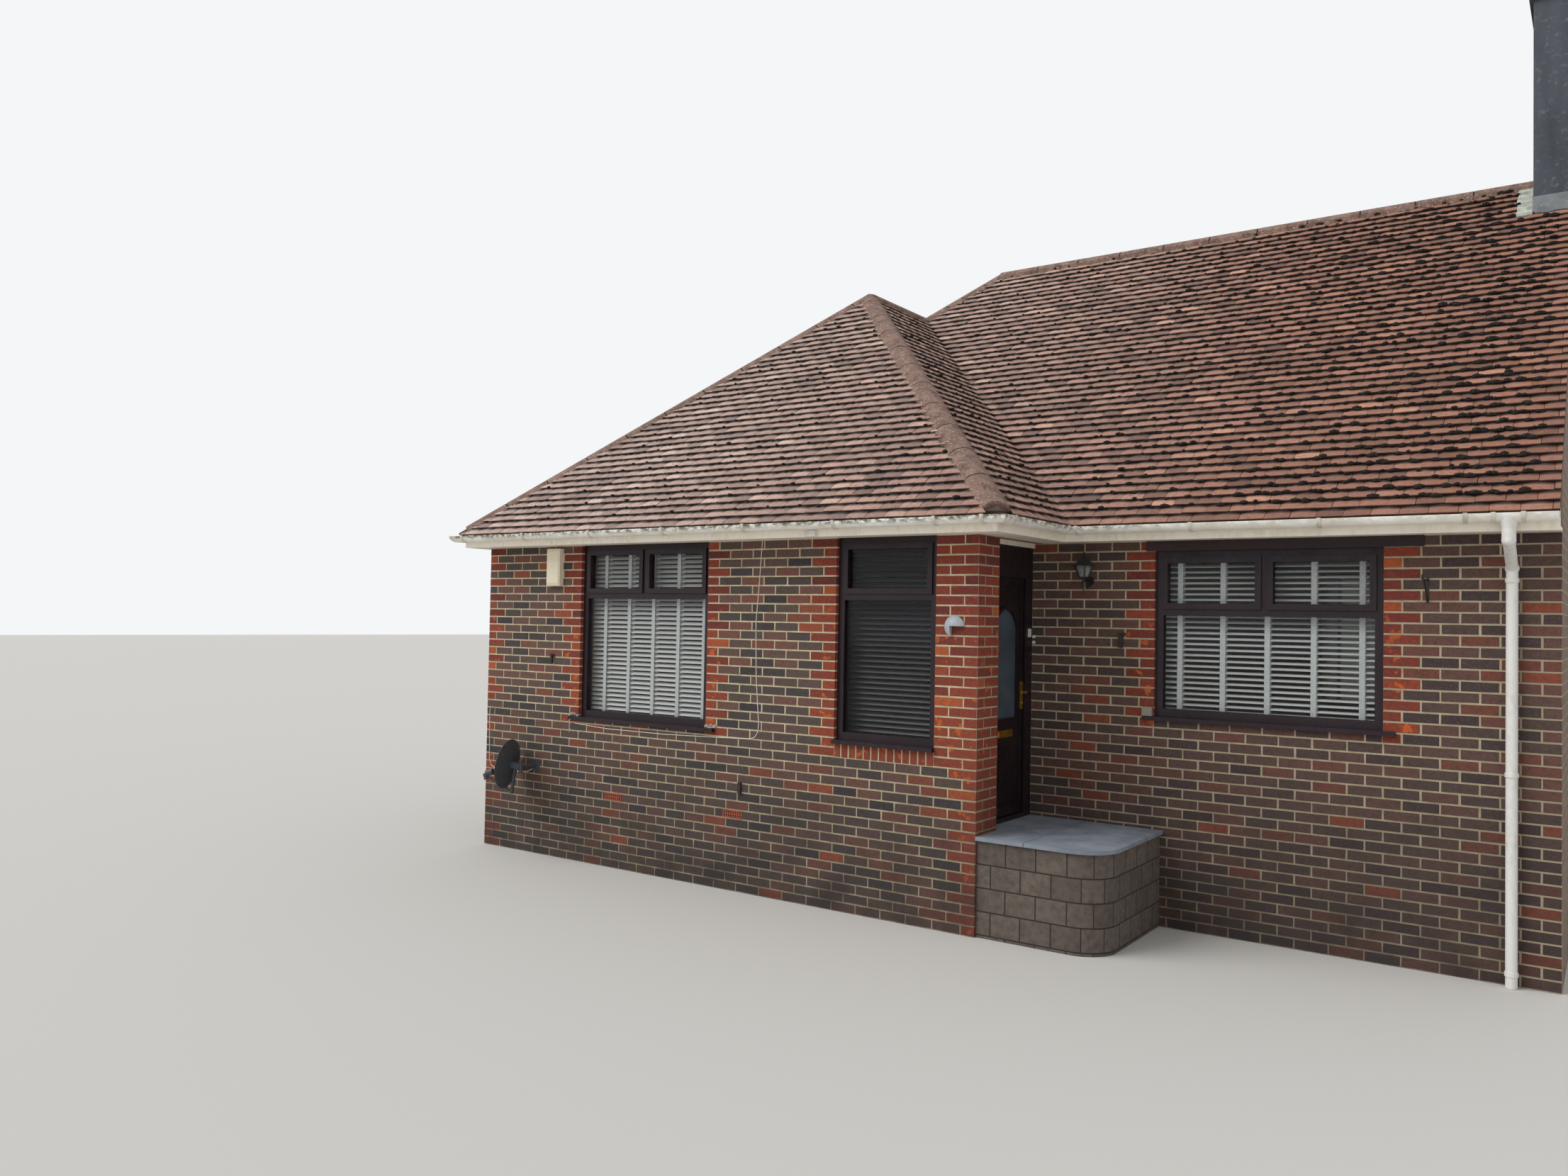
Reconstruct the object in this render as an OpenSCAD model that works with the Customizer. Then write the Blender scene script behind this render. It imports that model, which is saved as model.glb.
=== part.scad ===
// Semi-detached brick bungalow with a hipped tile roof and a projecting front wing.
// Millimetres, +Z up. The front faces -Y and the party wall closes the +X end.
// The origin lies under the middle of the plan, on the level of the lowest wall foot.
// In the modules, x = 0 is the wing's right side and y = 0 is the face of its front.

/* [Plan] */
// Width of the front wing, from the outer left wall to its right side
wing_w = 5235; // [5100:5:5600]
// How far the wing stands in front of the main front wall
wing_proj = 1166; // [1130:2:1300]
// Width of the main front, from the wing's side to the party line
main_w = 3418; // [3380:2:4200]
// Depth of the main body, outer face to outer face
house_d = 6296; // [5800:4:7000]
// Thickness of the cavity walls
wall_t = 267; // [240:1:300]
// Thickness of the party wall
party_t = 229; // [200:1:260]

/* [Levels] */
// Height of one brick course with its joint
course_h = 73.3; // [72:0.1:76]
// Courses from the lowest wall foot to the soffit
wall_courses = 39; // [38:1:42]
// Drop from the soffit to the top of the doorstep
step_drop = 2150; // [2100:5:2250]
// Rise from the doorstep to the finished floor
floor_rise = 30; // [20:1:34]
// Thickness of the floor
floor_t = 150; // [100:5:200]
// Height of the wall head above the soffit
head_h = 100; // [80:1:110]
// Thickness of the ceiling
ceiling_t = 50; // [30:1:80]

/* [Roof] */
// Pitch of every slope in degrees
pitch = 42; // [38:0.5:45]
// Thickness of the tiled covering, square to the slope
roof_t = 34; // [28:1:50]
// Overhang of the fascia at the front, right and rear
overhang = 264; // [200:2:320]
// Overhang of the fascia on the left side
overhang_left = 60; // [40:2:200]
// Reach of the tiles past the fascia
tile_reach = 50; // [30:1:56]
// Height of the tile edge above the soffit
tile_edge_h = 128; // [110:1:150]
// Width of the ridge and hip tiles
cap_w = 222; // [200:2:240]
// Radius of a ridge or hip tile's arch
cap_r = 130; // [125:1:160]
// Rise of a ridge or hip tile's crown over the line where the slopes meet
cap_rise = 20; // [12:1:40]
// Length of one ridge or hip tile
cap_len = 450; // [300:10:500]
// Distance of the lowest hip tile from the corner of the tile edge, along the hip
hip_start = 90; // [70:5:200]
// Width of the mortar joint between two ridge or hip tiles
cap_joint = 14; // [8:1:24]
// Depth of the mortar joint between two ridge or hip tiles
cap_bed = 6; // [3:1:12]

/* [Eaves] */
// Thickness of the fascia and soffit boards
board_t = 18; // [12:1:25]
// Drop of the fascia below the soffit
fascia_drop = 8; // [0:1:20]
// Outer radius of the half-round gutters
gutter_r = 56; // [50:1:65]
// Wall of the gutters
gutter_wall = 4; // [3:0.5:6]
// Height of the gutter's rim above the soffit
gutter_rim = 98; // [80:1:100]
// Spacing of the gutter's brackets and unions
band_pitch = 843; // [700:1:1000]
// Width of a gutter bracket
band_w = 26; // [18:1:40]
// Thickness of a gutter bracket round the gutter
band_t = 5; // [3:0.5:8]
// Outer radius of the downpipe
pipe_r = 34; // [28:1:40]
// Distance of the downpipe from the party line
pipe_inset = 262; // [200:2:400]
// Space between the downpipe and the wall
pipe_gap = 20; // [10:1:40]
// Drop of the upper bend under the soffit
upper_bend = 70; // [50:5:100]
// Drop of the lower bend under the soffit
lower_bend = 230; // [180:5:300]
// Wall of the pipe's sockets and clips
socket_wall = 5; // [4:0.5:8]
// Height of a pipe clip
clip_h = 26; // [18:1:40]
// Drop of the first pipe clip under the lower bend
clip_drop = 90; // [60:5:150]
// Height of the outlet's funnel
funnel_h = 70; // [50:5:80]
// Radius of the outlet's funnel at the gutter
funnel_r = 53; // [44:1:54]

/* [Windows] */
// Left pier of the wing, from its corner to the wide window
wing_pier_w = 1249; // [1150:1:1400]
// Width of the wide wing window
wide_window_w = 1498; // [1300:2:1600]
// Width of the pier between the narrow window and the door
door_pier_w = 338; // [300:1:400]
// Width of the narrow window
narrow_window_w = 872; // [700:2:1000]
// Height of the wing's window openings, down from the soffit
wing_window_h = 1582; // [1400:2:1650]
// Start of the main window, from the wing's side
main_window_x = 875; // [700:1:1000]
// Width of the main window
main_window_w = 1545; // [1300:5:1700]
// Height of the main window's opening, under its lintel
main_window_h = 1265; // [1000:5:1350]
// Height of the lintel over the main window
lintel_h = 75; // [60:1:100]
// Thickness of the lintel's face board
lintel_board_t = 12; // [8:1:20]
// Reach of the lintel's face board past the opening on the left
lintel_left = 60; // [20:5:100]
// Reach of the lintel's face board past the opening on the right
lintel_right = 240; // [60:5:300]
// Setback of the window frames from the wall face
reveal = 35; // [20:1:60]
// Depth of the window frames
frame_d = 65; // [50:1:80]
// Width of the window frame members
frame_w = 58; // [45:1:70]
// Height from a window's head to the middle of its transom
top_light_h = 450; // [350:5:500]
// Width from which a window has two top lights
two_lights_w = 1200; // [1000:10:1290]
// Width of the sash members
sash_w = 42; // [35:1:55]
// How far a sash stands in front of its frame
sash_out = 14; // [6:1:20]
// Overlap of a sash on its frame
sash_lap = 10; // [6:1:15]
// Thickness of the glazing
glass_t = 20; // [16:1:28]
// Thickness of the sills
sill_t = 30; // [24:1:50]
// Reach of the sills past the wall face
sill_out = 38; // [20:1:60]
// Horns of the wide window's sill
sill_horn = 100; // [0:5:120]
// Horns of the main window's sill
main_horn = 75; // [0:5:120]

/* [Door] */
// Setback of the door frame from the wing's side
door_reveal = 100; // [80:1:110]
// Depth of the door frame
door_frame_d = 70; // [68:1:80]
// Width of the door frame on the hinge side
hinge_jamb_w = 55; // [45:1:70]
// Width of the door frame on the lock side
lock_jamb_w = 106; // [60:1:130]
// Height of the door frame's head with its blank panel
door_head_h = 262; // [60:1:280]
// Height of the threshold over the step
threshold_h = 35; // [34:1:45]
// Thickness of the door leaf
leaf_t = 52; // [44:1:54]
// Running gap round the door leaf
leaf_gap = 9; // [8.5:0.5:12]
// Thickness of the frame's outer stop
stop_t = 12; // [8:1:16]
// Lap of the stop over the edge of the leaf
stop_lap = 9; // [6:1:15]
// Space between the stop and the closed leaf
stop_gap = 5; // [5:0.5:8]
// Radius of the hinge barrels
hinge_r = 9; // [7:0.5:11]
// Height of one hinge
hinge_h = 105; // [80:1:130]
// Width of a hinge plate
hinge_w = 28; // [20:1:36]
// Distance of the outer hinges from the leaf's ends
hinge_inset = 180; // [120:10:260]
// Width of the leaf's plain rim
stile_w = 82; // [70:1:100]
// Depth of the sunk panel inside the rim
panel_sink = 6; // [3:1:10]
// Width of the arched light
arch_w = 390; // [320:5:400]
// Height of the arched light's foot over the step
arch_foot_h = 785; // [760:5:840]
// Height of the arched light's top over the step
arch_top_h = 1620; // [1500:5:1640]
// Width of the mouldings on the leaf
mould_w = 26; // [18:1:32]
// Thickness of the mouldings on the leaf
mould_t = 9; // [6:1:10]
// Width of the raised lower panel
field_w = 380; // [320:5:400]
// Height of the raised lower panel
field_h = 390; // [300:5:400]
// Height of the raised lower panel's foot over the step
field_foot_h = 175; // [150:5:190]
// Width of the letter plate
plate_w = 270; // [220:5:300]
// Height of the letter plate
plate_h = 56; // [40:1:70]
// Height of the letter plate's foot over the step
plate_foot_h = 640; // [620:5:660]
// Length of the handle's back plate
handle_h = 212; // [180:2:240]
// Width of the handle's back plate
handle_w = 32; // [26:1:40]
// Height of the handle's foot over the step
handle_foot_h = 845; // [800:5:900]
// Length of the lever
lever_len = 105; // [90:1:120]
// Reach of the lever from the leaf
lever_out = 48; // [40:1:55]

/* [Doorstep] */
// Width of the step along the main wall
step_w = 955; // [900:5:1200]
// Thickness of the step slab
slab_t = 28; // [22:1:50]
// Overhang of the slab past its risers
slab_nose = 22; // [10:1:40]
// Radius of the slab's free corner
slab_corner_r = 270; // [150:5:400]

/* [Chimney] */
// Width of the stack on this side of the party line
stack_w = 298; // [280:2:460]
// Depth of the stack
stack_d = 900; // [700:10:1100]
// Height of the stack over the ridge
stack_h = 1550; // [1200:10:2000]
// Depth to which the stack reaches down under the ridge
stack_foot = 1200; // [900:10:1500]
// Height of the stack's oversailing top
stack_top_h = 150; // [100:5:220]
// Reach of the stack's oversailing top
stack_top_out = 30; // [15:1:50]
// Height of the mortar flaunching round the pot
flaunching_h = 60; // [40:5:90]
// Height of the lead flashing over the tiles
flashing_h = 150; // [100:5:200]
// Thickness of the lead flashing with its mortar
flashing_t = 5; // [3:1:8]
// Height of the chimney pot
pot_h = 330; // [250:5:450]
// Radius of the chimney pot
pot_r = 115; // [90:1:130]
// Wall of the chimney pot
pot_wall = 22; // [16:1:30]

/* [Fixtures] */
// Middle of the coach lantern, from the wing's side
lantern_x = 372; // [340:2:420]
// Distance of the lantern's middle from the wall
lantern_out = 130; // [120:1:160]
// Radius of the crescent light
crescent_r = 78; // [65:1:90]
// Left edge of the alarm box, from the wing's side
alarm_x = -4394; // [-4450:1:-4300]
// Width of the alarm box
alarm_w = 174; // [150:1:200]
// Height of the alarm box
alarm_h = 342; // [300:1:380]
// Depth of the alarm box
alarm_d = 64; // [50:1:80]
// Radius of the dish aerial
dish_r = 228; // [200:1:260]
// Bearing of the dish aerial, counter-clockwise from the +X side
dish_turn = 200; // [190:1:215]
// Tilt of the dish aerial
dish_tilt = 8; // [0:1:20]
// Length of an air brick
air_brick_l = 200; // [190:1:215]
// Height of an air brick
air_brick_h = 63; // [55:1:66]
// Position of the hanging-basket bracket, from the wing's side
basket_x = 2680; // [2600:5:2800]
// Radius of the clipped cable
cable_r = 3.5; // [3:0.5:5]

/* [Hidden] */
$fn = 48;

soffit_z = wall_courses * course_h;
step_z = soffit_z - step_drop;
floor_z = step_z + floor_rise;
head_z = soffit_z + head_h;
eaves_z = soffit_z + tile_edge_h;
rear_y = wing_proj + house_d;
party_x = main_w - party_t;
slope = tan(pitch);
roof_v = roof_t / cos(pitch);
joint = 0.4;
// Air between sloping faces that would else touch, and the margin of a cut
hair = 0.1;
cut = 1;

// Edges of the tiles in plan: left, right, front of the wing, front of the main roof, rear
eave_l = -wing_w - overhang_left - tile_reach;
eave_r = overhang + tile_reach;
eave_f = -overhang - tile_reach;
eave_m = wing_proj - overhang - tile_reach;
eave_b = rear_y + overhang + tile_reach;
wing_half = (eave_r - eave_l) / 2;
main_half = (eave_b - eave_m) / 2;
wing_ridge_x = eave_l + wing_half;
wing_ridge_y = eave_f + wing_half;
wing_end_y = eave_m + wing_half;
main_ridge_x = eave_l + main_half;
main_ridge_y = eave_m + main_half;
wing_ridge_z = eaves_z + wing_half * slope;
main_ridge_z = eaves_z + main_half * slope;
slope_len = main_half / cos(pitch) + roof_t;

// Fascia faces
fascia_l = -wing_w - overhang_left;
fascia_f = -overhang;
fascia_m = wing_proj - overhang;
fascia_b = rear_y + overhang;
fascia_top = eaves_z + tile_reach * slope - roof_v;

// Dish aerial: arm from the wall to the pivot, from there to the bowl, and the bowl's own radius
dish_arm = 190;
bowl_back = 88;
bowl_wall = 4;
bowl_r = 590;
rim_depth = bowl_back + bowl_wall + bowl_r - sqrt(bowl_r * bowl_r - dish_r * dish_r);
dish_reach = dish_arm - rim_depth * cos(dish_tilt) * sin(dish_turn)
    + dish_r * sqrt(pow(cos(dish_turn), 2) + pow(sin(dish_tilt) * sin(dish_turn), 2));

// Limits of the whole plan, for the origin
x_min = fascia_l - 2 * gutter_r;
y_min = -max(overhang + 2 * gutter_r, dish_reach);
y_max = fascia_b + 2 * gutter_r;

// The doorway lies between the door pier and the main front wall
leaf_y0 = door_pier_w + hinge_jamb_w + leaf_gap;
leaf_y1 = wing_proj - lock_jamb_w - leaf_gap;
leaf_z0 = step_z + threshold_h + leaf_gap;
leaf_z1 = soffit_z - door_head_h - leaf_gap;
leaf_x1 = -door_reveal - stop_t - stop_gap;
leaf_x0 = leaf_x1 - leaf_t;
door_frame_x = [-door_reveal - door_frame_d, -door_reveal];

// Outline of the leaf's panel and light, along the leaf and up
leaf_mid = (leaf_y0 + leaf_y1) / 2;
arch_r = arch_w * 0.515;
arch_c = step_z + arch_top_h - arch_r;
handle_y = leaf_y1 - stile_w / 2;

// The hinge axis runs up the inner face of the frame, in the middle of the gap
hinge_x = door_frame_x[0] - hinge_r;
hinge_y = leaf_y0 - leaf_gap / 2;
hinge_gap = 0.3;
hinge_zs = [leaf_z0 + hinge_inset, (leaf_z0 + leaf_z1 - hinge_h) / 2, leaf_z1 - hinge_inset - hinge_h];

// Windows as [first edge along the wall, width, height, drop of the head under the soffit]
wide_window = [-wing_w + wing_pier_w, wide_window_w, wing_window_h, 0];
narrow_window = [-door_pier_w - narrow_window_w, narrow_window_w, wing_window_h, 0];
main_window = [main_window_x, main_window_w, main_window_h, lintel_h];
side_window = [rear_y / 2, narrow_window_w, wing_window_h, 0];
rear_left_window = [-wing_w + wing_pier_w, wide_window_w, wing_window_h, 0];
rear_right_window = [main_window_x, narrow_window_w, wing_window_h, 0];

// Route of the clipped cable from the eaves to the wide sill, and of the aerial's cable, as drops
cable_route = [[-1928, -4], [-1950, -330], [-1978, -666], [-1966, -1100], [-1932, -1490], [-1940, -1550],
    [-1968, -1592], [-2020, -1612], [-2520, -1628], [-2921, -1640], [-3627, -1641], [-4031, -1618]];
aerial_route = [[-5190, -1530], [-5196, -1600], [-5190, -1800], [-5186, -2030], [-5160, -2095], [-5090, -2125],
    [-4800, -2130], [-4640, -2110], [-4576, -2080]];

module place() {
    translate([-(x_min + main_w) / 2, -(y_min + y_max) / 2, 0]) children();
}

// A box from its limits along x, y and z
module block(x, y, z) {
    translate([x[0], y[0], z[0]]) cube([x[1] - x[0], y[1] - y[0], z[1] - z[0]]);
}

// Turns what is drawn for a front wall at y = 0 to the main front, the rear or the left side
module on_main_front() { translate([0, wing_proj, 0]) children(); }
module on_rear() { translate([0, rear_y, 0]) mirror([0, 1, 0]) children(); }
module on_left_side() { translate([-wing_w, 0, 0]) rotate([0, 0, 90]) mirror([0, 1, 0]) children(); }

function head_of(w) = soffit_z - w[3];
function foot_of(w) = soffit_z - w[3] - w[2];

// The opening of a window, cut through a wall up to its top
module window_hole(w) {
    block([w[0], w[0] + w[1]], [-cut, wall_t + cut], [foot_of(w), soffit_z + cut]);
}

module wing_left_pier() {
    color("#5a4238") place() block([-wing_w, wide_window[0]], [0, wall_t], [0, soffit_z]);
}

module wing_window_walls() {
    color("#5a4238") place()
        for (w = [wide_window, narrow_window]) block([w[0], w[0] + w[1]], [0, wall_t], [0, foot_of(w)]);
}

module wing_middle_pier() {
    color("#5a4238") place()
        block([wide_window[0] + wide_window_w, narrow_window[0]], [0, wall_t], [0, soffit_z]);
}

// The pier turns the corner and ends at the hinge side of the doorway
module door_pier() {
    color("#8a3326") place() linear_extrude(soffit_z)
        polygon([[-door_pier_w, 0], [0, 0], [0, door_pier_w], [-wall_t, door_pier_w], [-wall_t, wall_t],
            [-door_pier_w, wall_t]]);
}

module doorway_base_wall() {
    color("#5a4238") place() block([-wall_t, 0], [door_pier_w, wing_proj], [0, step_z]);
}

module main_left_pier() {
    color("#5a4238") place() on_main_front() block([-wall_t, main_window_x], [0, wall_t], [0, soffit_z]);
}

module main_window_wall() {
    color("#5a4238") place() on_main_front()
        block([main_window_x, main_window_x + main_window_w], [0, wall_t], [0, foot_of(main_window)]);
}

module main_right_pier() {
    color("#5a4238") place() on_main_front()
        block([main_window_x + main_window_w, party_x], [0, wall_t], [0, soffit_z]);
}

module left_side_wall() {
    color("#5a4238") place() on_left_side() difference() {
        block([wall_t, rear_y - wall_t], [0, wall_t], [0, soffit_z]);
        window_hole(side_window);
    }
}

module rear_wall() {
    color("#5a4238") place() on_rear() difference() {
        block([-wing_w, party_x], [0, wall_t], [0, soffit_z]);
        window_hole(rear_left_window);
        window_hole(rear_right_window);
    }
}

// The party wall rises to the underside of the tiles as a plain gable
module party_wall() {
    shoulder = eaves_z + (overhang + tile_reach) * slope - roof_v - hair;
    color("#8c8176") place() difference() {
        translate([party_x, 0, 0]) rotate([90, 0, 90]) linear_extrude(party_t)
            polygon([[wing_proj, 0], [rear_y, 0], [rear_y, shoulder],
                [main_ridge_y, main_ridge_z - roof_v - hair], [wing_proj, shoulder]]);
        stack_prism();
    }
}

// Timber plates and hidden lintels on top of the walls, as separate lengths with fine joints
module wall_heads() {
    color("#a08a66") place() {
        z = [soffit_z, head_z];
        block([-wing_w, 0], [0, wall_t], z);
        block([-wing_w, -wing_w + wall_t], [wall_t + joint, rear_y - wall_t - joint], z);
        block([-wing_w, party_x - joint], [rear_y - wall_t, rear_y], z);
        block([-wall_t, party_x - joint], [wing_proj, wing_proj + wall_t], z);
        block([-wall_t, 0], [wall_t + joint, wing_proj - joint], z);
    }
}

module ceiling() {
    rest = wall_t / 2;
    z = [head_z, head_z + ceiling_t];
    color("#e6e2d8") place() {
        block([-wing_w + rest, -rest], [rest, wing_proj + rest - joint], z);
        block([-wing_w + rest, party_x], [wing_proj + rest, rear_y - rest], z);
    }
}

module floor() {
    z = [floor_z - floor_t, floor_z];
    color("#b39b78") place() {
        block([-wing_w + wall_t, -wall_t], [wall_t, wing_proj + wall_t - joint], z);
        block([-wing_w + wall_t, party_x], [wing_proj + wall_t, rear_y - wall_t], z);
        block([-wall_t + joint, -door_reveal - door_frame_d], [door_pier_w, wing_proj], [step_z, floor_z]);
    }
}

module step_outline(inset) {
    r = slab_corner_r - inset;
    w = step_w - inset;
    union() {
        translate([0, inset]) square([w - r, wing_proj - inset]);
        translate([0, inset + r]) square([w, wing_proj - inset - r]);
        translate([w - r, inset + r]) circle(r);
    }
}

module doorstep_slab() {
    color("#b9bcc2") place() translate([0, 0, step_z - slab_t]) linear_extrude(slab_t) step_outline(0);
}

module doorstep_base() {
    color("#8f8478") place() linear_extrude(step_z - slab_t) step_outline(slab_nose);
}

// A sill with horns that stand in front of the wall
module sill(w, horn) {
    translate([0, 0, foot_of(w)]) linear_extrude(sill_t) union() {
        translate([w[0] - horn, -sill_out]) square([w[1] + 2 * horn, sill_out]);
        translate([w[0], -sill_out]) square([w[1], sill_out + reveal + frame_d]);
    }
}

module window_sills() {
    color("#2f2622") place() {
        sill(wide_window, sill_horn);
        sill(narrow_window, 0);
        on_main_front() sill(main_window, main_horn);
        on_left_side() sill(side_window, 0);
        on_rear() sill(rear_left_window, 0);
        on_rear() sill(rear_right_window, 0);
    }
}

function lights_of(w) = w[1] > two_lights_w ? 2 : 1;
function light_w(w) = (w[1] - (lights_of(w) + 1) * frame_w) / lights_of(w);
function light_x(w, i) = w[0] + frame_w + i * (light_w(w) + frame_w);
function transom_z(w) = head_of(w) - top_light_h;

// A window frame with a row of top lights over one wide pane
module window_frame(w) {
    y = [reveal, reveal + frame_d];
    difference() {
        block([w[0], w[0] + w[1]], y, [foot_of(w) + sill_t, head_of(w)]);
        block([w[0] + frame_w, w[0] + w[1] - frame_w], [y[0] - cut, y[1] + cut],
            [foot_of(w) + sill_t + frame_w, transom_z(w) - frame_w / 2]);
        for (i = [0 : lights_of(w) - 1])
            block([light_x(w, i), light_x(w, i) + light_w(w)], [y[0] - cut, y[1] + cut],
                [transom_z(w) + frame_w / 2, head_of(w) - frame_w]);
    }
}

// Top-hung sashes, rebated over the face of the frame
module sashes(w) {
    z0 = transom_z(w) + frame_w / 2;
    z1 = head_of(w) - frame_w;
    for (i = [0 : lights_of(w) - 1]) {
        x0 = light_x(w, i);
        x1 = x0 + light_w(w);
        difference() {
            union() {
                block([x0 - sash_lap, x1 + sash_lap], [reveal - sash_out, reveal],
                    [z0 - sash_lap, z1 + sash_lap]);
                block([x0, x1], [reveal, reveal + frame_d - sash_out], [z0, z1]);
            }
            block([x0 + sash_w - sash_lap, x1 - sash_w + sash_lap], [0, reveal + frame_d],
                [z0 + sash_w - sash_lap, z1 - sash_w + sash_lap]);
        }
    }
}

// Glass of the wide pane and of each top light
module glass(w) {
    y = [reveal + frame_d / 2 - glass_t / 2, reveal + frame_d / 2 + glass_t / 2];
    z0 = transom_z(w) + frame_w / 2 + sash_w - sash_lap;
    z1 = head_of(w) - frame_w - sash_w + sash_lap;
    block([w[0] + frame_w, w[0] + w[1] - frame_w], y,
        [foot_of(w) + sill_t + frame_w, transom_z(w) - frame_w / 2]);
    for (i = [0 : lights_of(w) - 1])
        block([light_x(w, i) + sash_w - sash_lap, light_x(w, i) + light_w(w) - sash_w + sash_lap], y, [z0, z1]);
}

module wing_window_frames() {
    color("#2f2622") place() {
        window_frame(wide_window);
        window_frame(narrow_window);
    }
}

module main_window_frame() {
    color("#2f2622") place() on_main_front() window_frame(main_window);
}

module back_window_frames() {
    color("#2f2622") place() {
        on_left_side() window_frame(side_window);
        on_rear() window_frame(rear_left_window);
        on_rear() window_frame(rear_right_window);
    }
}

module window_sashes() {
    color("#2f2622") place() {
        sashes(wide_window);
        sashes(narrow_window);
        on_main_front() sashes(main_window);
        on_left_side() sashes(side_window);
        on_rear() sashes(rear_left_window);
        on_rear() sashes(rear_right_window);
    }
}

module window_glass() {
    color("#9fb0b8", 0.5) place() {
        glass(wide_window);
        glass(narrow_window);
        on_main_front() glass(main_window);
        on_left_side() glass(side_window);
        on_rear() glass(rear_left_window);
        on_rear() glass(rear_right_window);
    }
}

module main_window_lintel() {
    z = [soffit_z - lintel_h, soffit_z];
    color("#3a322c") place() on_main_front() {
        block([main_window_x, main_window_x + main_window_w], [0, wall_t], z);
        block([main_window_x - lintel_left, main_window_x + main_window_w + lintel_right],
            [-lintel_board_t, 0], z);
    }
}

// One flat slope of tiles over a plan, rising from an eaves line in the direction that turn gives
module tile_slope(plan, at, turn) {
    intersection() {
        linear_extrude(2 * main_ridge_z) polygon(plan);
        translate([at[0], at[1], eaves_z]) rotate([0, 0, turn]) rotate([pitch, 0, 0])
            translate([-2 * house_d, 0, -roof_t]) cube([4 * house_d, slope_len, roof_t]);
    }
}

module wing_front_slope() {
    color("#6e5148") place()
        tile_slope([[eave_l, eave_f], [eave_r, eave_f], [wing_ridge_x, wing_ridge_y]], [0, eave_f], 0);
}

module wing_right_slope() {
    color("#6e5148") place()
        tile_slope([[eave_r, eave_f], [eave_r, eave_m], [wing_ridge_x, wing_end_y],
            [wing_ridge_x, wing_ridge_y]], [eave_r, 0], 90);
}

module wing_left_slope() {
    color("#6e5148") place()
        tile_slope([[eave_l, eave_f], [wing_ridge_x, wing_ridge_y], [wing_ridge_x, wing_end_y],
            [eave_l, wing_end_y]], [eave_l, 0], -90);
}

module main_front_slope() {
    color("#6e5148") place() difference() {
        tile_slope([[eave_r, eave_m], [main_w, eave_m], [main_w, main_ridge_y], [main_ridge_x, main_ridge_y],
            [wing_ridge_x, wing_end_y]], [0, eave_m], 0);
        stack_prism();
    }
}

module main_left_slope() {
    color("#6e5148") place()
        tile_slope([[eave_l, wing_end_y], [wing_ridge_x, wing_end_y], [main_ridge_x, main_ridge_y],
            [eave_l, eave_b]], [eave_l, 0], -90);
}

module main_rear_slope() {
    color("#6e5148") place() difference() {
        tile_slope([[eave_l, eave_b], [main_ridge_x, main_ridge_y], [main_w, main_ridge_y], [main_w, eave_b]],
            [0, eave_b], 180);
        stack_prism();
    }
}

// Section of an arched tile on its mortar bed, over two slopes that fall at the given angle
module cap_section(inset, fall) {
    half = cap_w / 2 - inset;
    far = 3 * cap_r;
    difference() {
        intersection() {
            translate([0, cap_rise - cap_r]) circle(cap_r - inset);
            translate([-half, -far]) square([2 * half, 2 * far]);
        }
        translate([0, hair])
            polygon([[0, 0], [far, -far * tan(fall)], [far, -2 * far], [-far, -2 * far], [-far, -far * tan(fall)]]);
    }
}

// A run of ridge or hip tiles with mortar joints between them, along +X
module cap_run(len, fall) {
    count = max(1, round(len / cap_len));
    unit = len / count;
    rotate([90, 0, 90]) {
        linear_extrude(len) cap_section(cap_bed, fall);
        for (i = [0 : count - 1])
            translate([0, 0, i * unit + cap_joint / 2]) linear_extrude(unit - cap_joint)
                cap_section(0, fall);
    }
}

hip_fall = acos(cos(pitch) * cos(pitch)) / 2;
hip_rise = atan(slope / sqrt(2));
hip_scale = sqrt(2 + slope * slope);

// Hip tiles over a plan run, mitred upright where the hips meet at the top. They start from a distance
// up the hip; a negative one means a ridge ends over the foot, and the first tile is cut upright there.
module hip_run(foot, z, turn, plan_run, from) {
    w = cap_w;
    first = from < 0 ? joint : -w;
    top = plan_run * sqrt(2) - joint;
    translate([foot[0], foot[1], 0]) rotate([0, 0, turn]) intersection() {
        translate([0, 0, z]) rotate([0, -hip_rise, 0]) translate([from, 0, 0])
            cap_run(plan_run * hip_scale - from + w, hip_fall);
        linear_extrude(2 * main_ridge_z)
            polygon([[first, -w], [top - w, -w], [top, 0], [top - w, w], [first, w]]);
    }
}

// The wing's ridge ends upright over the valley, where the main roof's hip takes over
module ridge_tiles() {
    w = cap_w;
    color("#7d6155") place() {
        intersection() {
            translate([wing_ridge_x, wing_ridge_y + joint, wing_ridge_z]) rotate([0, 0, 90])
                cap_run(wing_end_y - wing_ridge_y + w, pitch);
            translate([wing_ridge_x, wing_end_y, 0]) linear_extrude(2 * main_ridge_z)
                polygon([[-w, wing_ridge_y - wing_end_y], [w, wing_ridge_y - wing_end_y], [w, -w - joint],
                    [-w, w - joint]]);
        }
        translate([main_ridge_x + joint, main_ridge_y, main_ridge_z])
            cap_run(main_w - stack_w - flashing_t - 2 * joint - main_ridge_x, pitch);
    }
}

module hip_tiles() {
    color("#7d6155") place() {
        hip_run([eave_l, eave_f], eaves_z, 45, wing_half, hip_start);
        hip_run([eave_r, eave_f], eaves_z, 135, wing_half, hip_start);
        hip_run([eave_l, eave_b], eaves_z, -45, main_half, hip_start);
        hip_run([wing_ridge_x, wing_end_y], wing_ridge_z, 45, main_half - wing_half, -cap_w);
    }
}

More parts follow.
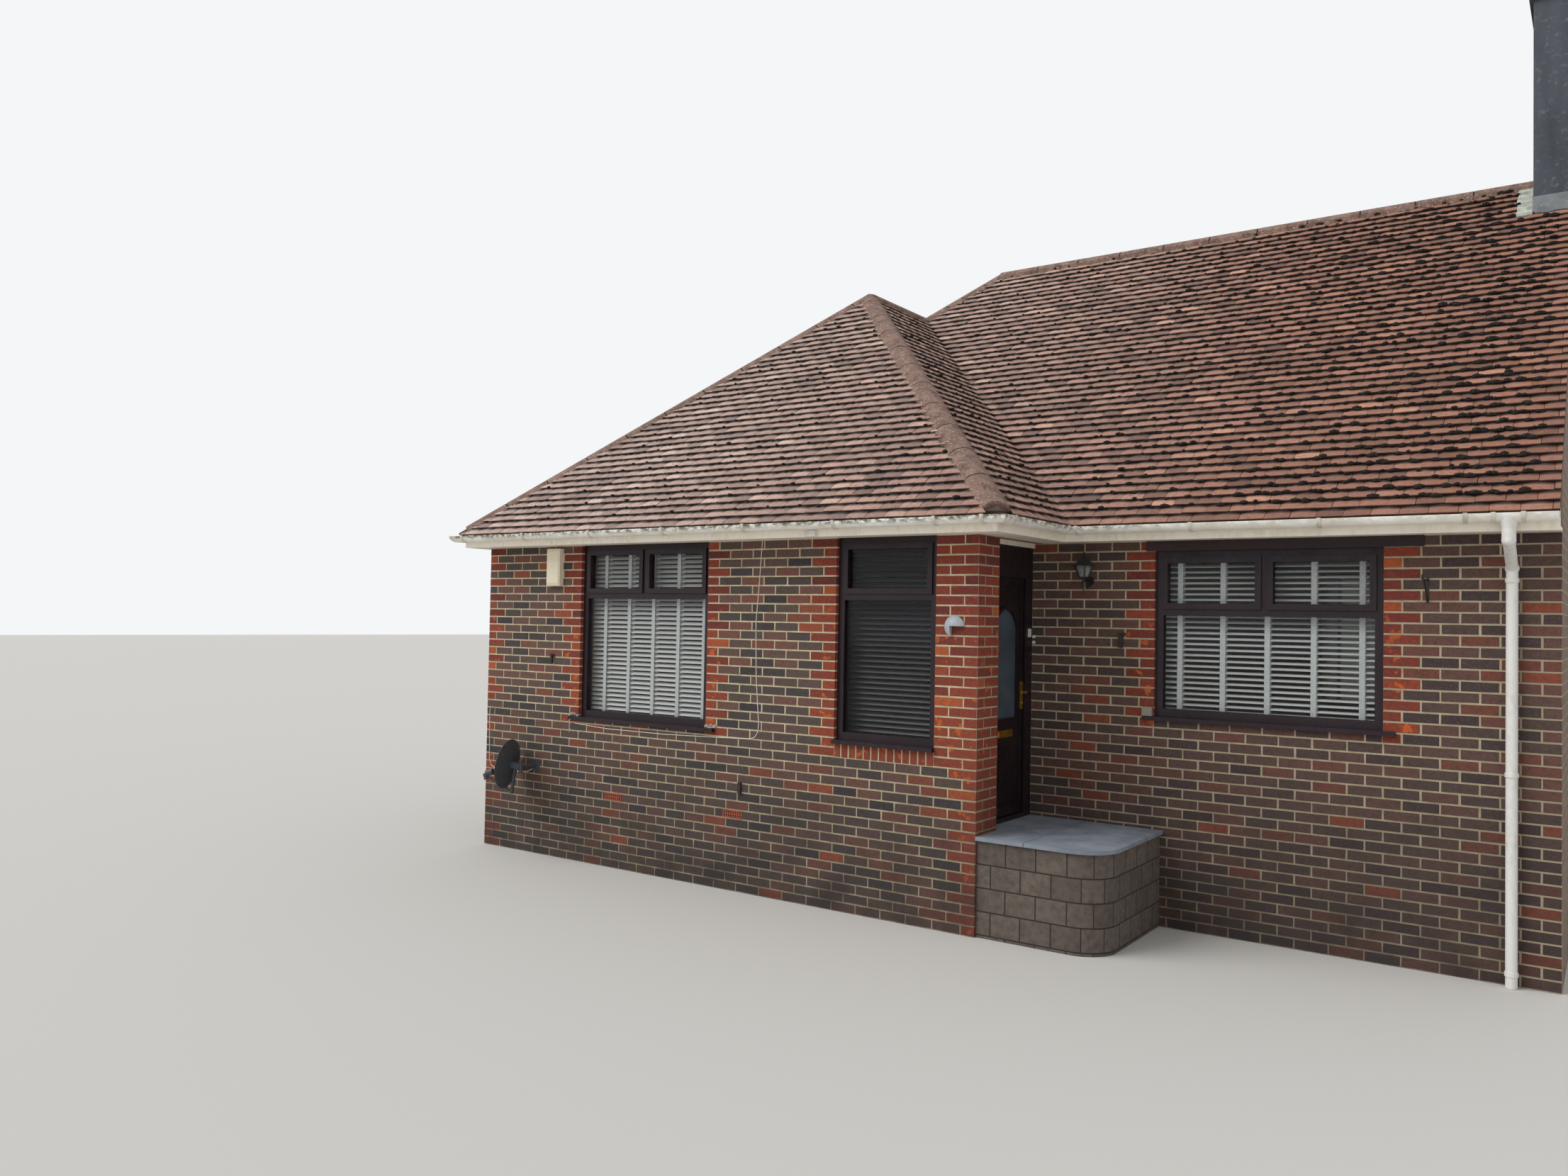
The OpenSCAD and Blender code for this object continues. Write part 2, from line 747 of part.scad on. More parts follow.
// White boards round the eaves, as separate lengths with fine joints
module fascia_boards() {
    z = [soffit_z - fascia_drop, fascia_top];
    color("#efece2") place() {
        block([fascia_l, overhang], [fascia_f, fascia_f + board_t], z);
        block([overhang - board_t, overhang], [fascia_f + board_t + joint, fascia_m - joint], z);
        block([overhang - board_t, main_w], [fascia_m, fascia_m + board_t], z);
        block([fascia_l, fascia_l + board_t], [fascia_f + board_t + joint, fascia_b - board_t - joint], z);
        block([fascia_l, main_w], [fascia_b - board_t, fascia_b], z);
    }
}

module soffit_boards() {
    z = [soffit_z, soffit_z + board_t];
    in_l = fascia_l + board_t;
    in_r = overhang - board_t;
    color("#efece2") place() {
        block([in_l, in_r], [fascia_f + board_t, 0], z);
        block([0, in_r], [joint, fascia_m + board_t - joint], z);
        block([0, main_w], [fascia_m + board_t, wing_proj], z);
        block([in_l, -wing_w], [joint, rear_y - joint], z);
        block([in_l, main_w], [rear_y, fascia_b - board_t], z);
        block([-door_reveal, -door_reveal + board_t], [door_pier_w, wing_proj],
            [soffit_z - 2 * board_t, soffit_z]);
    }
}

// A length of half-round gutter along +X, with its back edge on y = 0 and its bowl towards -Y
module gutter_length(len) {
    translate([0, -gutter_r, 0]) rotate([90, 0, 90]) linear_extrude(len) difference() {
        circle(gutter_r);
        circle(gutter_r - gutter_wall);
        translate([-2 * gutter_r, 0]) square([4 * gutter_r, 2 * gutter_r]);
    }
}

// A length cut on the mitre at an outer corner (1), an inner corner (-1) or square (0)
module mitred_gutter(len, start, end) {
    d = 2.5 * gutter_r;
    a = joint * abs(start);
    b = len - joint * abs(end);
    intersection() {
        translate([-d, 0, 0]) gutter_length(len + 2 * d);
        translate([0, 0, -d]) linear_extrude(2 * d)
            polygon([[a + start * cut, cut], [a - start * d, -d], [b + end * d, -d], [b - end * cut, cut]]);
    }
}

module gutters() {
    z = soffit_z + gutter_rim;
    color("#e9e6da") place() {
        translate([fascia_l, fascia_f, z]) mitred_gutter(overhang - fascia_l, 1, 1);
        translate([overhang, fascia_f, z]) rotate([0, 0, 90]) mitred_gutter(fascia_m - fascia_f, 1, -1);
        translate([overhang, fascia_m, z]) mitred_gutter(main_w - overhang, -1, 0);
        translate([fascia_l, fascia_b, z]) rotate([0, 0, -90]) mitred_gutter(fascia_b - fascia_f, 1, 1);
        translate([main_w, fascia_b, z]) rotate([0, 0, 180]) mitred_gutter(main_w - fascia_l, 0, 1);
    }
}

// A bracket round a gutter along +X, from the fascia under the bowl and over the front rim
module gutter_band(at) {
    r = gutter_r + band_t;
    translate([at - band_w / 2, -gutter_r, 0]) rotate([90, 0, 90]) linear_extrude(band_w) {
        difference() {
            circle(r);
            circle(gutter_r + hair);
            translate([-2 * r, 0]) square([4 * r, 2 * r]);
            translate([gutter_r, -2 * r]) square([2 * r, 4 * r]);
        }
        translate([-r, 0]) square([r - gutter_r + 2 * gutter_wall, band_t]);
    }
}

// Brackets at an even pitch, from a first one up to the end of a run
module gutter_bands(first, end) {
    for (at = [first : band_pitch : end]) gutter_band(at);
}

module gutter_brackets() {
    z = soffit_z + gutter_rim;
    lead = 1.2 * gutter_r;
    color("#e9e6da") place() {
        translate([fascia_l, fascia_f, z]) {
            gutter_bands(lead, overhang - fascia_l - 2 * lead);
            gutter_band(overhang - fascia_l - lead);
        }
        translate([overhang, fascia_f, z]) rotate([0, 0, 90]) {
            gutter_band(lead);
            gutter_band(fascia_m - fascia_f - 2.5 * lead);
        }
        translate([overhang, fascia_m, z]) {
            gutter_bands(2 * lead, main_w - overhang - pipe_inset - 2 * lead);
            for (side = [-1, 1]) gutter_band(main_w - overhang - pipe_inset + side * (funnel_r + band_w));
        }
        translate([fascia_l, fascia_b, z]) rotate([0, 0, -90]) gutter_bands(lead, fascia_b - fascia_f - lead);
        translate([main_w, fascia_b, z]) rotate([0, 0, 180]) gutter_bands(lead, main_w - fascia_l - lead);
    }
}

// Downpipe: an outlet under the gutter, an offset back to the wall, and a clipped pipe to the ground
module downpipe() {
    y_out = fascia_m - gutter_r;
    y_wall = wing_proj - pipe_gap - pipe_r;
    z_out = soffit_z - upper_bend;
    z_wall = soffit_z - lower_bend;
    run = norm([y_wall - y_out, z_out - z_wall]);
    r = pipe_r + socket_wall;
    color("#e9e6da") place() translate([main_w - pipe_inset, 0, 0]) {
        difference() {
            union() {
                translate([0, y_out, z_out]) cylinder(h = gutter_rim + upper_bend, r = r);
                translate([0, y_out, soffit_z]) cylinder(h = funnel_h, r1 = r, r2 = funnel_r);
            }
            translate([-2 * r, y_out, soffit_z + gutter_rim]) rotate([0, 90, 0])
                cylinder(h = 4 * r, r = gutter_r + joint);
        }
        translate([0, y_out, z_out]) sphere(r + cut);
        translate([0, y_out, z_out]) rotate([-atan2(y_wall - y_out, z_wall - z_out), 0, 0])
            cylinder(h = run, r = pipe_r);
        translate([0, y_wall, z_wall]) sphere(r + cut);
        translate([0, y_wall, 0]) cylinder(h = z_wall, r = pipe_r);
        for (z = [z_wall - clip_drop, z_wall / 2, course_h]) {
            translate([0, y_wall, z]) cylinder(h = clip_h, r = r);
            block([-pipe_r / 2, pipe_r / 2], [y_wall, wing_proj], [z, z + clip_h]);
        }
    }
}

// The stack with room round it in plan, past the party line by a margin
module stack_prism(grow = 0, past = cut) {
    block([main_w - stack_w - grow, main_w + past],
        [main_ridge_y - stack_d / 2 - grow, main_ridge_y + stack_d / 2 + grow],
        [main_ridge_z - stack_foot, main_ridge_z + stack_h]);
}

// Rendered stack with an oversailing top, and mortar that slopes up to the pot
module chimney_stack() {
    top = main_ridge_z + stack_h;
    y = [main_ridge_y - stack_d / 2, main_ridge_y + stack_d / 2];
    color("#8f8c88") place() {
        stack_prism(0, 0);
        difference() {
            block([main_w - stack_w - stack_top_out, main_w], [y[0] - stack_top_out, y[1] + stack_top_out],
                [top - stack_top_h, top]);
            stack_prism();
        }
        intersection() {
            translate([main_w - stack_w, 0, top]) rotate([90, 0, 90]) linear_extrude(stack_w)
                polygon([[y[0], 0], [y[1], 0], [main_ridge_y + pot_r, flaunching_h],
                    [main_ridge_y - pot_r, flaunching_h]]);
            translate([0, y[1], top]) rotate([90, 0, 0]) linear_extrude(stack_d)
                polygon([[main_w - stack_w, 0], [main_w, 0], [main_w, flaunching_h],
                    [main_w - stack_w / 2 - pot_r, flaunching_h]]);
        }
    }
}

// A collar of lead round the stack that follows the slopes, from just over the tiles
module chimney_flashing() {
    out = stack_d / 2 + flashing_t;
    foot = main_ridge_z + joint;
    color("#6f7276") place() difference() {
        intersection() {
            stack_prism(flashing_t, 0);
            translate([main_w - stack_w - flashing_t, 0, 0]) rotate([90, 0, 90])
                linear_extrude(stack_w + flashing_t) polygon([
                    [main_ridge_y - out, foot - out * slope], [main_ridge_y, foot],
                    [main_ridge_y + out, foot - out * slope],
                    [main_ridge_y + out, foot - out * slope + flashing_h],
                    [main_ridge_y, foot + flashing_h], [main_ridge_y - out, foot - out * slope + flashing_h]]);
        }
        stack_prism();
    }
}

module chimney_pot() {
    color("#b06a4a") place()
        translate([main_w - stack_w / 2, main_ridge_y, main_ridge_z + stack_h + flaunching_h]) difference() {
            cylinder(h = pot_h, r = pot_r);
            translate([0, 0, -cut]) cylinder(h = pot_h + 2 * cut, r = pot_r - pot_wall);
        }
}

// The frame has a stop round its outer face that covers the gap round the leaf
module door_frame() {
    y = [door_pier_w + hinge_jamb_w, wing_proj - lock_jamb_w];
    z = [step_z + threshold_h, soffit_z - door_head_h];
    lap = leaf_gap + stop_lap;
    color("#2f2622") place() {
        difference() {
            block(door_frame_x, [door_pier_w, wing_proj], [step_z, soffit_z]);
            block([door_frame_x[0] - cut, -door_reveal - stop_t], y, z);
            block([door_frame_x[0], cut], [y[0] + lap, y[1] - lap], [z[0], z[1] - lap]);
        }
        for (z0 = hinge_zs, up = [0, 2 * hinge_h / 3 + hinge_gap])
            knuckle(z0 + up, hinge_h / 3 - hinge_gap, -1, door_frame_x[0]);
    }
}

// A hinge barrel with its plate, which reaches to the face at x on the side that dir gives
module knuckle(z0, h, dir, x) {
    translate([hinge_x, hinge_y, z0]) cylinder(h = h, r = hinge_r);
    block([hinge_x, x], dir > 0 ? [hinge_y, hinge_y + hinge_w] : [hinge_y - hinge_w, hinge_y], [z0, z0 + h]);
}

// Shapes drawn along the leaf and up, as a plate between two distances from the wing's side
module leaf_plate(x) { translate([x[0], 0, 0]) rotate([90, 0, 90]) linear_extrude(x[1] - x[0]) children(); }

// The arched light, grown all round; the arc meets the upright sides at a slight angle
module arch_outline(grow, play = 0) {
    w = arch_w / 2 + grow;
    foot = step_z + arch_foot_h - grow;
    intersection() {
        translate([leaf_mid - w, foot]) square([2 * w, 2 * arch_top_h]);
        union() {
            translate([leaf_mid, arch_c]) circle(arch_r + grow - play);
            translate([leaf_mid - w, foot]) square([2 * w, arch_c - foot]);
        }
    }
}

module panel_outline(shrink) {
    translate([leaf_mid - field_w / 2 + shrink, step_z + field_foot_h + shrink])
        square([field_w - 2 * shrink, field_h - 2 * shrink]);
}

// A panelled leaf: plain rim, sunk panel, moulded arch, and a lower panel raised in two steps
module front_door() {
    inner = [leaf_x0 + panel_sink, leaf_x1 - panel_sink];
    color("#33261f") place() {
        difference() {
            union() {
                leaf_plate([leaf_x0, leaf_x1]) difference() {
                    translate([leaf_y0, leaf_z0]) square([leaf_y1 - leaf_y0, leaf_z1 - leaf_z0]);
                    translate([leaf_y0 + stile_w, leaf_z0 + stile_w])
                        square([leaf_y1 - leaf_y0 - 2 * stile_w, leaf_z1 - leaf_z0 - 2 * stile_w]);
                }
                leaf_plate(inner) translate([leaf_y0 + stile_w, leaf_z0 + stile_w])
                    square([leaf_y1 - leaf_y0 - 2 * stile_w, leaf_z1 - leaf_z0 - 2 * stile_w]);
                leaf_plate([inner[0] - mould_t, inner[1] + mould_t]) arch_outline(mould_w);
                leaf_plate([inner[0] - panel_sink / 2, inner[1] + panel_sink / 2]) panel_outline(0);
                leaf_plate([inner[0] - mould_t, inner[1] + mould_t]) panel_outline(2.5 * mould_w);
            }
            leaf_plate([leaf_x0 - mould_t, leaf_x1 + mould_t]) arch_outline(0);
        }
        for (z0 = hinge_zs) knuckle(z0 + hinge_h / 3 + hinge_gap / 2, hinge_h / 3, 1, leaf_x0);
    }
}

// Double glazing, which stands on the foot and between the sides of its hole
module door_glass() {
    mid = (leaf_x0 + leaf_x1) / 2;
    color("#9fb0b8", 0.5) place() leaf_plate([mid - glass_t / 2, mid + glass_t / 2]) arch_outline(0, joint);
}

// Back plates with a lever on both faces; the levers point to the hinges
module door_handle() {
    z = step_z + handle_foot_h;
    color("#c9a24a") place() for (s = [0, 1])
        translate([s * leaf_x1 + (1 - s) * leaf_x0, handle_y, z]) mirror([1 - s, 0, 0]) {
            block([0, 8], [-handle_w / 2, handle_w / 2], [0, handle_h]);
            translate([0, 0, handle_h * 0.62]) rotate([0, 90, 0]) cylinder(h = lever_out, r = handle_w / 4);
            block([lever_out - 14, lever_out], [handle_w / 3 - lever_len, handle_w / 3],
                [handle_h * 0.62 - 9, handle_h * 0.62 + 9]);
            translate([0, 0, handle_h * 0.22]) rotate([0, 90, 0]) cylinder(h = 14, r = handle_w / 4);
        }
}

module letter_plate() {
    x = leaf_x1 - panel_sink;
    y = [leaf_mid - plate_w / 2, leaf_mid + plate_w / 2];
    z = [step_z + plate_foot_h, step_z + plate_foot_h + plate_h];
    edge = plate_h / 6;
    color("#c9a24a") place() {
        block([x, x + 5], y, z);
        block([x + 5, x + 9], [y[0] + 2 * edge, y[1] - 2 * edge], [z[0] + edge, z[1] - edge]);
    }
}

// Moves what is drawn on the wing's front to a place given by its position and drop under the soffit
module fixed_at(x, drop) { translate([x, 0, soffit_z - drop]) children(); }

// Coach lantern on a scrolled arm: six glazed sides under a pointed roof
module wall_lantern() {
    color("#1c1b1d") place() on_main_front() fixed_at(lantern_x, 0) {
        translate([0, 0, -300]) rotate([90, 0, 0]) cylinder(h = 8, r = 36);
        translate([0, 0, -300]) rotate([90, 0, 0]) cylinder(h = lantern_out, r = 7);
        translate([0, -50, -322]) rotate([0, 90, 0]) rotate_extrude() translate([26, 0]) circle(5);
        translate([0, -lantern_out, 0]) {
            translate([0, 0, -308]) cylinder(h = 32, r = 9);
            translate([0, 0, -412]) cylinder(h = 105, r1 = 2, r2 = 9);
            translate([0, 0, -278]) cylinder(h = 8, r = 46, $fn = 6);
            for (turn = [0 : 60 : 300]) rotate([0, 0, turn]) translate([41, 0, -272]) rotate([0, 21, 0])
                cylinder(h = 92, r = 3.5);
            translate([0, 0, -188]) cylinder(h = 7, r = 92, $fn = 6);
            translate([0, 0, -181]) cylinder(h = 58, r1 = 84, r2 = 24, $fn = 6);
            translate([0, 0, -125]) cylinder(h = 8, r = 28, $fn = 6);
            translate([0, 0, -118]) cylinder(h = 24, r1 = 22, r2 = 7);
            translate([0, 0, -88]) sphere(9);
        }
    }
}

module lantern_glass() {
    color("#c8d0d2", 0.5) place() on_main_front() translate([0, -lantern_out, 0])
        fixed_at(lantern_x, 270) difference() {
            cylinder(h = 82, r1 = 34, r2 = 65, $fn = 6);
            translate([0, 0, -cut]) cylinder(h = 82 + 2 * cut, r1 = 31, r2 = 62, $fn = 6);
        }
}

// Round bulkhead light that lacks its lower right quarter
module crescent_light() {
    color("#c9ccd0") place() fixed_at(-183, 665) difference() {
        union() {
            rotate([90, 0, 0]) cylinder(h = 14, r = crescent_r);
            intersection() {
                translate([0, 66, 0]) sphere(110);
                rotate([90, 0, 0]) cylinder(h = 60, r = crescent_r - 4);
            }
        }
        block([-24, 2 * crescent_r], [-2 * crescent_r, cut], [-2 * crescent_r, 4]);
    }
}

// Box with a bevelled face
module alarm_box() {
    bevel = 14;
    color("#e6dfc8") place() fixed_at(alarm_x, 24 + alarm_h) intersection() {
        rotate([90, 0, 90]) linear_extrude(alarm_w)
            polygon([[0, 0], [bevel - alarm_d, 0], [-alarm_d, 2 * bevel], [-alarm_d, alarm_h - 2 * bevel],
                [bevel - alarm_d, alarm_h], [0, alarm_h]]);
        linear_extrude(alarm_h)
            polygon([[0, 0], [0, bevel - alarm_d], [bevel, -alarm_d], [alarm_w - bevel, -alarm_d],
                [alarm_w, bevel - alarm_d], [alarm_w, 0]]);
    }
}

// Dish on a short arm, its face turned away from the house's front, with the head on a stay below
module dish_aerial() {
    head_t = bowl_back + bowl_wall;
    color("#3b3d40") place() fixed_at(-4530, 2040) {
        block([-45, 45], [-8, 0], [-55, 55]);
        rotate([90, 0, 0]) cylinder(h = dish_arm, r = 15);
        translate([0, -dish_arm, -60]) cylinder(h = 120, r = 19);
        translate([0, -dish_arm, 0]) rotate([0, 0, dish_turn]) rotate([0, -dish_tilt, 0]) {
            block([0, head_t], [-24, 24], [-30, 30]);
            intersection() {
                difference() {
                    translate([bowl_back + bowl_r, 0, 0]) sphere(bowl_r);
                    translate([head_t + bowl_r, 0, 0]) sphere(bowl_r);
                }
                translate([bowl_back, 0, 0]) rotate([0, 90, 0]) cylinder(h = rim_depth, r = dish_r);
            }
            block([40, 62], [-11, 11], [-262, 0]);
            translate([50, 0, -250]) rotate([0, -18, 0]) block([0, 300], [-9, 9], [-9, 9]);
            translate([325, 0, -185]) rotate([0, 25, 0]) cylinder(h = 60, r = 22);
            translate([335, 0, -128]) rotate([0, -65, 0]) cylinder(h = 70, r = 30);
        }
    }
}

// Iron bracket: an upright, an arm with a curled tip, and a stay
module basket_bracket() {
    color("#26221f") place() on_main_front() fixed_at(basket_x, 452) {
        block([-8, 8], [-6, 0], [0, 168]);
        translate([0, 0, 150]) rotate([90, 0, 0]) cylinder(h = 260, r = 5);
        translate([0, -3, 14]) rotate([52, 0, 0]) cylinder(h = 224, r = 5);
        translate([0, -262, 163]) rotate([0, 90, 0]) rotate_extrude() translate([14, 0]) circle(4.5);
    }
}

// Terracotta air bricks: two rows of slots
module air_bricks() {
    slots = 8;
    pitch_x = air_brick_l / (slots + 0.5);
    color("#a8503a") place() for (x = [-3631, -2285]) fixed_at(x, 2267) rotate([90, 0, 0])
        linear_extrude(6) difference() {
            square([air_brick_l, air_brick_h]);
            for (i = [0 : slots - 1], row = [0, 1])
                translate([(i + 0.5) * pitch_x, air_brick_h * (0.14 + 0.42 * row)])
                    square([pitch_x / 2, air_brick_h * 0.3]);
        }
}

// Stubs of old fixings
module bracket_remains() {
    color("#2b2624") place() {
        fixed_at(-4340, 1040) {
            block([-32, 32], [-10, 0], [14, 42]);
            block([-8, 10], [-24, 0], [-40, 42]);
        }
        fixed_at(-2112, 2060) block([-14, 14], [-20, 0], [0, 90]);
        on_main_front() fixed_at(626, 806) {
            block([-14, 14], [-28, 0], [0, 110]);
            block([14, 34], [-14, 0], [92, 114]);
        }
    }
}

// Plain boxes: junction boxes on the fascia and beside the main window, door contact and two bell pushes
module small_boxes() {
    color("#e9e6da") place() {
        translate([-1313, fascia_f - 24, soffit_z - 6]) cube([93, 24, 46]);
        on_main_front() fixed_at(main_window_x - 79, lintel_h + main_window_h - sill_t)
            block([0, 76], [-30, 0], [2, 70]);
        translate([-door_reveal, wing_proj - 82, soffit_z - 742]) cube([16, 30, 66]);
        on_main_front() for (drop = [738, 783])
            fixed_at(-82, drop) rotate([90, 0, 0]) cylinder(h = 12, r = 13);
    }
}

// Eight points round a route on a wall that faces -Y, square to the way on
function way(p, i) = p[min(i + 1, len(p) - 1)] - p[max(i - 1, 0)];
function ring(p, i, r) = let (w = way(p, i), side = cross(w, [0, 1, 0]) / norm(w))
    [for (k = [0 : 7]) p[i] + r * (cos(45 * k) * side + sin(45 * k) * [0, 1, 0])];

module cable(route, r) {
    p = [for (q = route) [q[0], -r, soffit_z + q[1]]];
    last = 8 * (len(p) - 1);
    polyhedron(points = [for (i = [0 : len(p) - 1]) each ring(p, i, r)], faces = concat(
        [[for (k = [7 : -1 : 0]) k], [for (k = [0 : 7]) last + k]],
        [for (i = [0 : len(p) - 2], k = [0 : 7]) each [
            [8 * i + k, 8 * i + (k + 1) % 8, 8 * i + 8 + k],
            [8 * i + (k + 1) % 8, 8 * i + 8 + (k + 1) % 8, 8 * i + 8 + k]]]));
}

module wall_cables() {
    color("#d9d5c8") place() {
        cable(cable_route, cable_r);
        cable(aerial_route, cable_r);
    }
}

wing_left_pier();
wing_window_walls();
wing_middle_pier();
door_pier();
doorway_base_wall();
main_left_pier();
main_window_wall();
main_right_pier();
left_side_wall();
rear_wall();
party_wall();
wall_heads();
ceiling();
floor();
doorstep_slab();
doorstep_base();
window_sills();
wing_window_frames();
main_window_frame();
back_window_frames();
window_sashes();
window_glass();
main_window_lintel();
wing_front_slope();
wing_right_slope();
wing_left_slope();
main_front_slope();
main_left_slope();
main_rear_slope();
ridge_tiles();
hip_tiles();
fascia_boards();
soffit_boards();
gutters();
gutter_brackets();
downpipe();
chimney_stack();
chimney_flashing();
chimney_pot();
door_frame();
wall_lantern();
lantern_glass();
crescent_light();
alarm_box();
dish_aerial();
basket_bracket();
air_bricks();
bracket_remains();
small_boxes();
wall_cables();
front_door();
door_glass();
door_handle();
letter_plate();
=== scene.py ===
# %% [markdown]
# # A semi-detached brick bungalow, dressed
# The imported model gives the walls, roof slopes, joinery and fixtures as plain solids. This file dresses
# them: bricks, roof tiles, moss and blinds are added as meshes, and every surface gets a finish.

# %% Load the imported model
import math
import random

import bmesh
import bpy
import numpy as np
from mathutils import Matrix, Vector


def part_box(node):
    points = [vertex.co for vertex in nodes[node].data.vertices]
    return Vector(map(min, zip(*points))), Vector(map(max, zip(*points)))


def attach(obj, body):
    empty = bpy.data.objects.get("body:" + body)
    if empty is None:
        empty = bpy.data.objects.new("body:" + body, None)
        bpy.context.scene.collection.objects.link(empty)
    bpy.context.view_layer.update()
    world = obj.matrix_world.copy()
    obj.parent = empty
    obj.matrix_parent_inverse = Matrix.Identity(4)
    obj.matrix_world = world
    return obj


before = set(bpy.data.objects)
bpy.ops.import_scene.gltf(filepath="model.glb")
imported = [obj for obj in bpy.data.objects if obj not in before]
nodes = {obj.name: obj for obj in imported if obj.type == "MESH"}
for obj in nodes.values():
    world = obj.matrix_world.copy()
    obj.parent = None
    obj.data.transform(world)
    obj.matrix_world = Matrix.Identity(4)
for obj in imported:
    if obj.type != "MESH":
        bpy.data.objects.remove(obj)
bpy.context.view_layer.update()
print("nodes:", len(nodes))

# %% [markdown]
# ## Where things are
# All sizes below are in metres from the corner where the wing's front meets its right side, as on a
# builder's drawing. One shift takes them to the model's frame, and it is read from the left pier.

# %% Shared sizes
pier_low, pier_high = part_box("wing_left_pier")
WING_W, WING_OUT, MAIN_W, DEPTH = 5.235, 1.166, 3.418, 7.462
SOFFIT = pier_high[2]
HOME = Matrix.Translation((pier_low[0] + WING_W, pier_low[1], 0))
HOME_X, HOME_Y, _ = HOME.translation
COURSE, JOINT = 0.0733, 0.013
WING_SILL, MAIN_SILL = 1.582, 1.34  # drops from the soffit to the foot of the window openings
LEFT_WALL, REAR_WALL = (-90, (-WING_W, DEPTH)), (180, (MAIN_W, DEPTH))  # turn and starting corner
print("shift:", [round(v, 4) for v in HOME.translation], "soffit:", round(SOFFIT, 4))


def wall_place(turn, at):
    """From a wall drawn along +X with its face on y = 0 to its place in the model."""
    return HOME @ Matrix.Translation((*at, 0)) @ Matrix.Rotation(math.radians(turn), 4, "Z")

# %% [markdown]
# ## Helpers
# One function turns a hex colour into the linear numbers that Blender works with, and one adds a node
# with its settings and links. Patterns that several finishes share are small functions on top of them.
# From here on t is a material's node tree, s its shader, and g a tree of geometry nodes.

# %% Colour and node helpers
MATH, VECTORS = "ShaderNodeMath", "ShaderNodeVectorMath"  # the two kinds used most


def linear(code):
    """sRGB hex to linear RGBA."""
    parts = [int(code[i:i + 2], 16) / 255 for i in (1, 3, 5)]
    return (*[c / 12.92 if c <= 0.04045 else ((c + 0.055) / 1.055) ** 2.4 for c in parts], 1)


def add(tree, kind, *inputs, stops=None, out=0, **settings):
    """Adds a node, applies its settings, fills its inputs with values, colours or links, in their order
    or from a dictionary by name or number, and gives back one of its outputs."""
    node = tree.nodes.new(kind)
    for key, value in settings.items():
        setattr(node, key, value)
    for i, (at, code) in enumerate(stops or []):
        ramp = node.color_ramp.elements
        if i == 0:
            ramp.remove(ramp[1])
        element = ramp[0] if i == 0 else ramp.new(at)
        element.position, element.color = at, linear(code)
    by_key = inputs[0] if inputs and isinstance(inputs[0], dict) else dict(enumerate(inputs))
    for key, value in by_key.items():
        if isinstance(value, bpy.types.NodeSocket):
            tree.links.new(value, node.inputs[key])
        else:
            node.inputs[key].default_value = linear(value) if str(value).startswith("#") else value
    return node.outputs[out]


def finish(name, colour, rough, **sockets):
    """A material with constants on the shader's own sockets; returns it, its tree and its shader."""
    material = bpy.data.materials.new(name)
    material.use_nodes = True
    shader = material.node_tree.nodes["Principled BSDF"]
    constants = {"Base Color": linear(colour), "Roughness": rough, **sockets}
    for key, value in constants.items():
        shader.inputs[key.replace("_", " ")].default_value = value
    print("finish:", name)
    return material, material.node_tree, shader

# %% Shared patterns
def lumps(tree, mm, stretch=(1, 1, 1), detail=3, rough=0.55):
    """Noise on Object coordinates whose lumps are mm across, longer where stretch is below one."""
    place = add(tree, "ShaderNodeTexCoord", out="Object")
    place = add(tree, "ShaderNodeMapping", {"Vector": place, "Scale": stretch})
    links = {"Vector": place, "Scale": 1000 / mm, "Detail": detail, "Roughness": rough}
    return add(tree, "ShaderNodeTexNoise", links)


def where(tree):
    """The three Object coordinates of a point on the surface, in metres."""
    place = add(tree, "ShaderNodeTexCoord", out="Object")
    return add(tree, "ShaderNodeSeparateXYZ", place).node.outputs


def amount_of(tree, pattern, low, high, end=1.0, start=0.0, **noise):
    """Goes from start to end while a pattern rises from low to high, and stays there beyond. Instead of
    a pattern it takes the size of fresh noise in mm."""
    if not isinstance(pattern, bpy.types.NodeSocket):
        pattern = lumps(tree, pattern, **noise)
    return add(tree, "ShaderNodeMapRange", pattern, low, high, start, end)


def layer(tree, under, over, pattern, *limits, **noise):
    """Lays one colour over another where the pattern is high, or by a ready amount without limits."""
    amount = amount_of(tree, pattern, *limits, **noise) if limits else pattern
    return add(tree, "ShaderNodeMix", {0: amount, 6: under, 7: over}, out=2, data_type="RGBA")


def paint(shader, colour, rough=None):
    """Gives the shader a colour that changes over the surface and, where stated, such a roughness."""
    shader.id_data.links.new(colour, shader.inputs["Base Color"])
    if rough:
        shader.id_data.links.new(rough, shader.inputs["Roughness"])


def relief(shader, pattern, high_mm, **noise):
    """Raises the surface by high_mm at most, after a pattern or after fresh noise of a size in mm."""
    tree = shader.id_data
    if not isinstance(pattern, bpy.types.NodeSocket):
        pattern = lumps(tree, pattern, **noise)
    bump = add(tree, "ShaderNodeBump", {"Height": pattern, "Distance": high_mm / 1000, "Strength": 1.0})
    tree.links.new(bump, shader.inputs["Normal"])


def dress(material, *names):
    """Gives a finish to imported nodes."""
    for name in names:
        for slot in nodes[name].material_slots:
            slot.material = material

# %% [markdown]
# ## Making a mesh from a rule
# Bricks, tiles, moss and slats repeat by a rule, so Geometry Nodes shape them: a point stands for each
# one and carries its size and tone, and the tree lays the shape on it. The result is kept as a plain
# mesh, because a live instance would be lost when the model is exported.

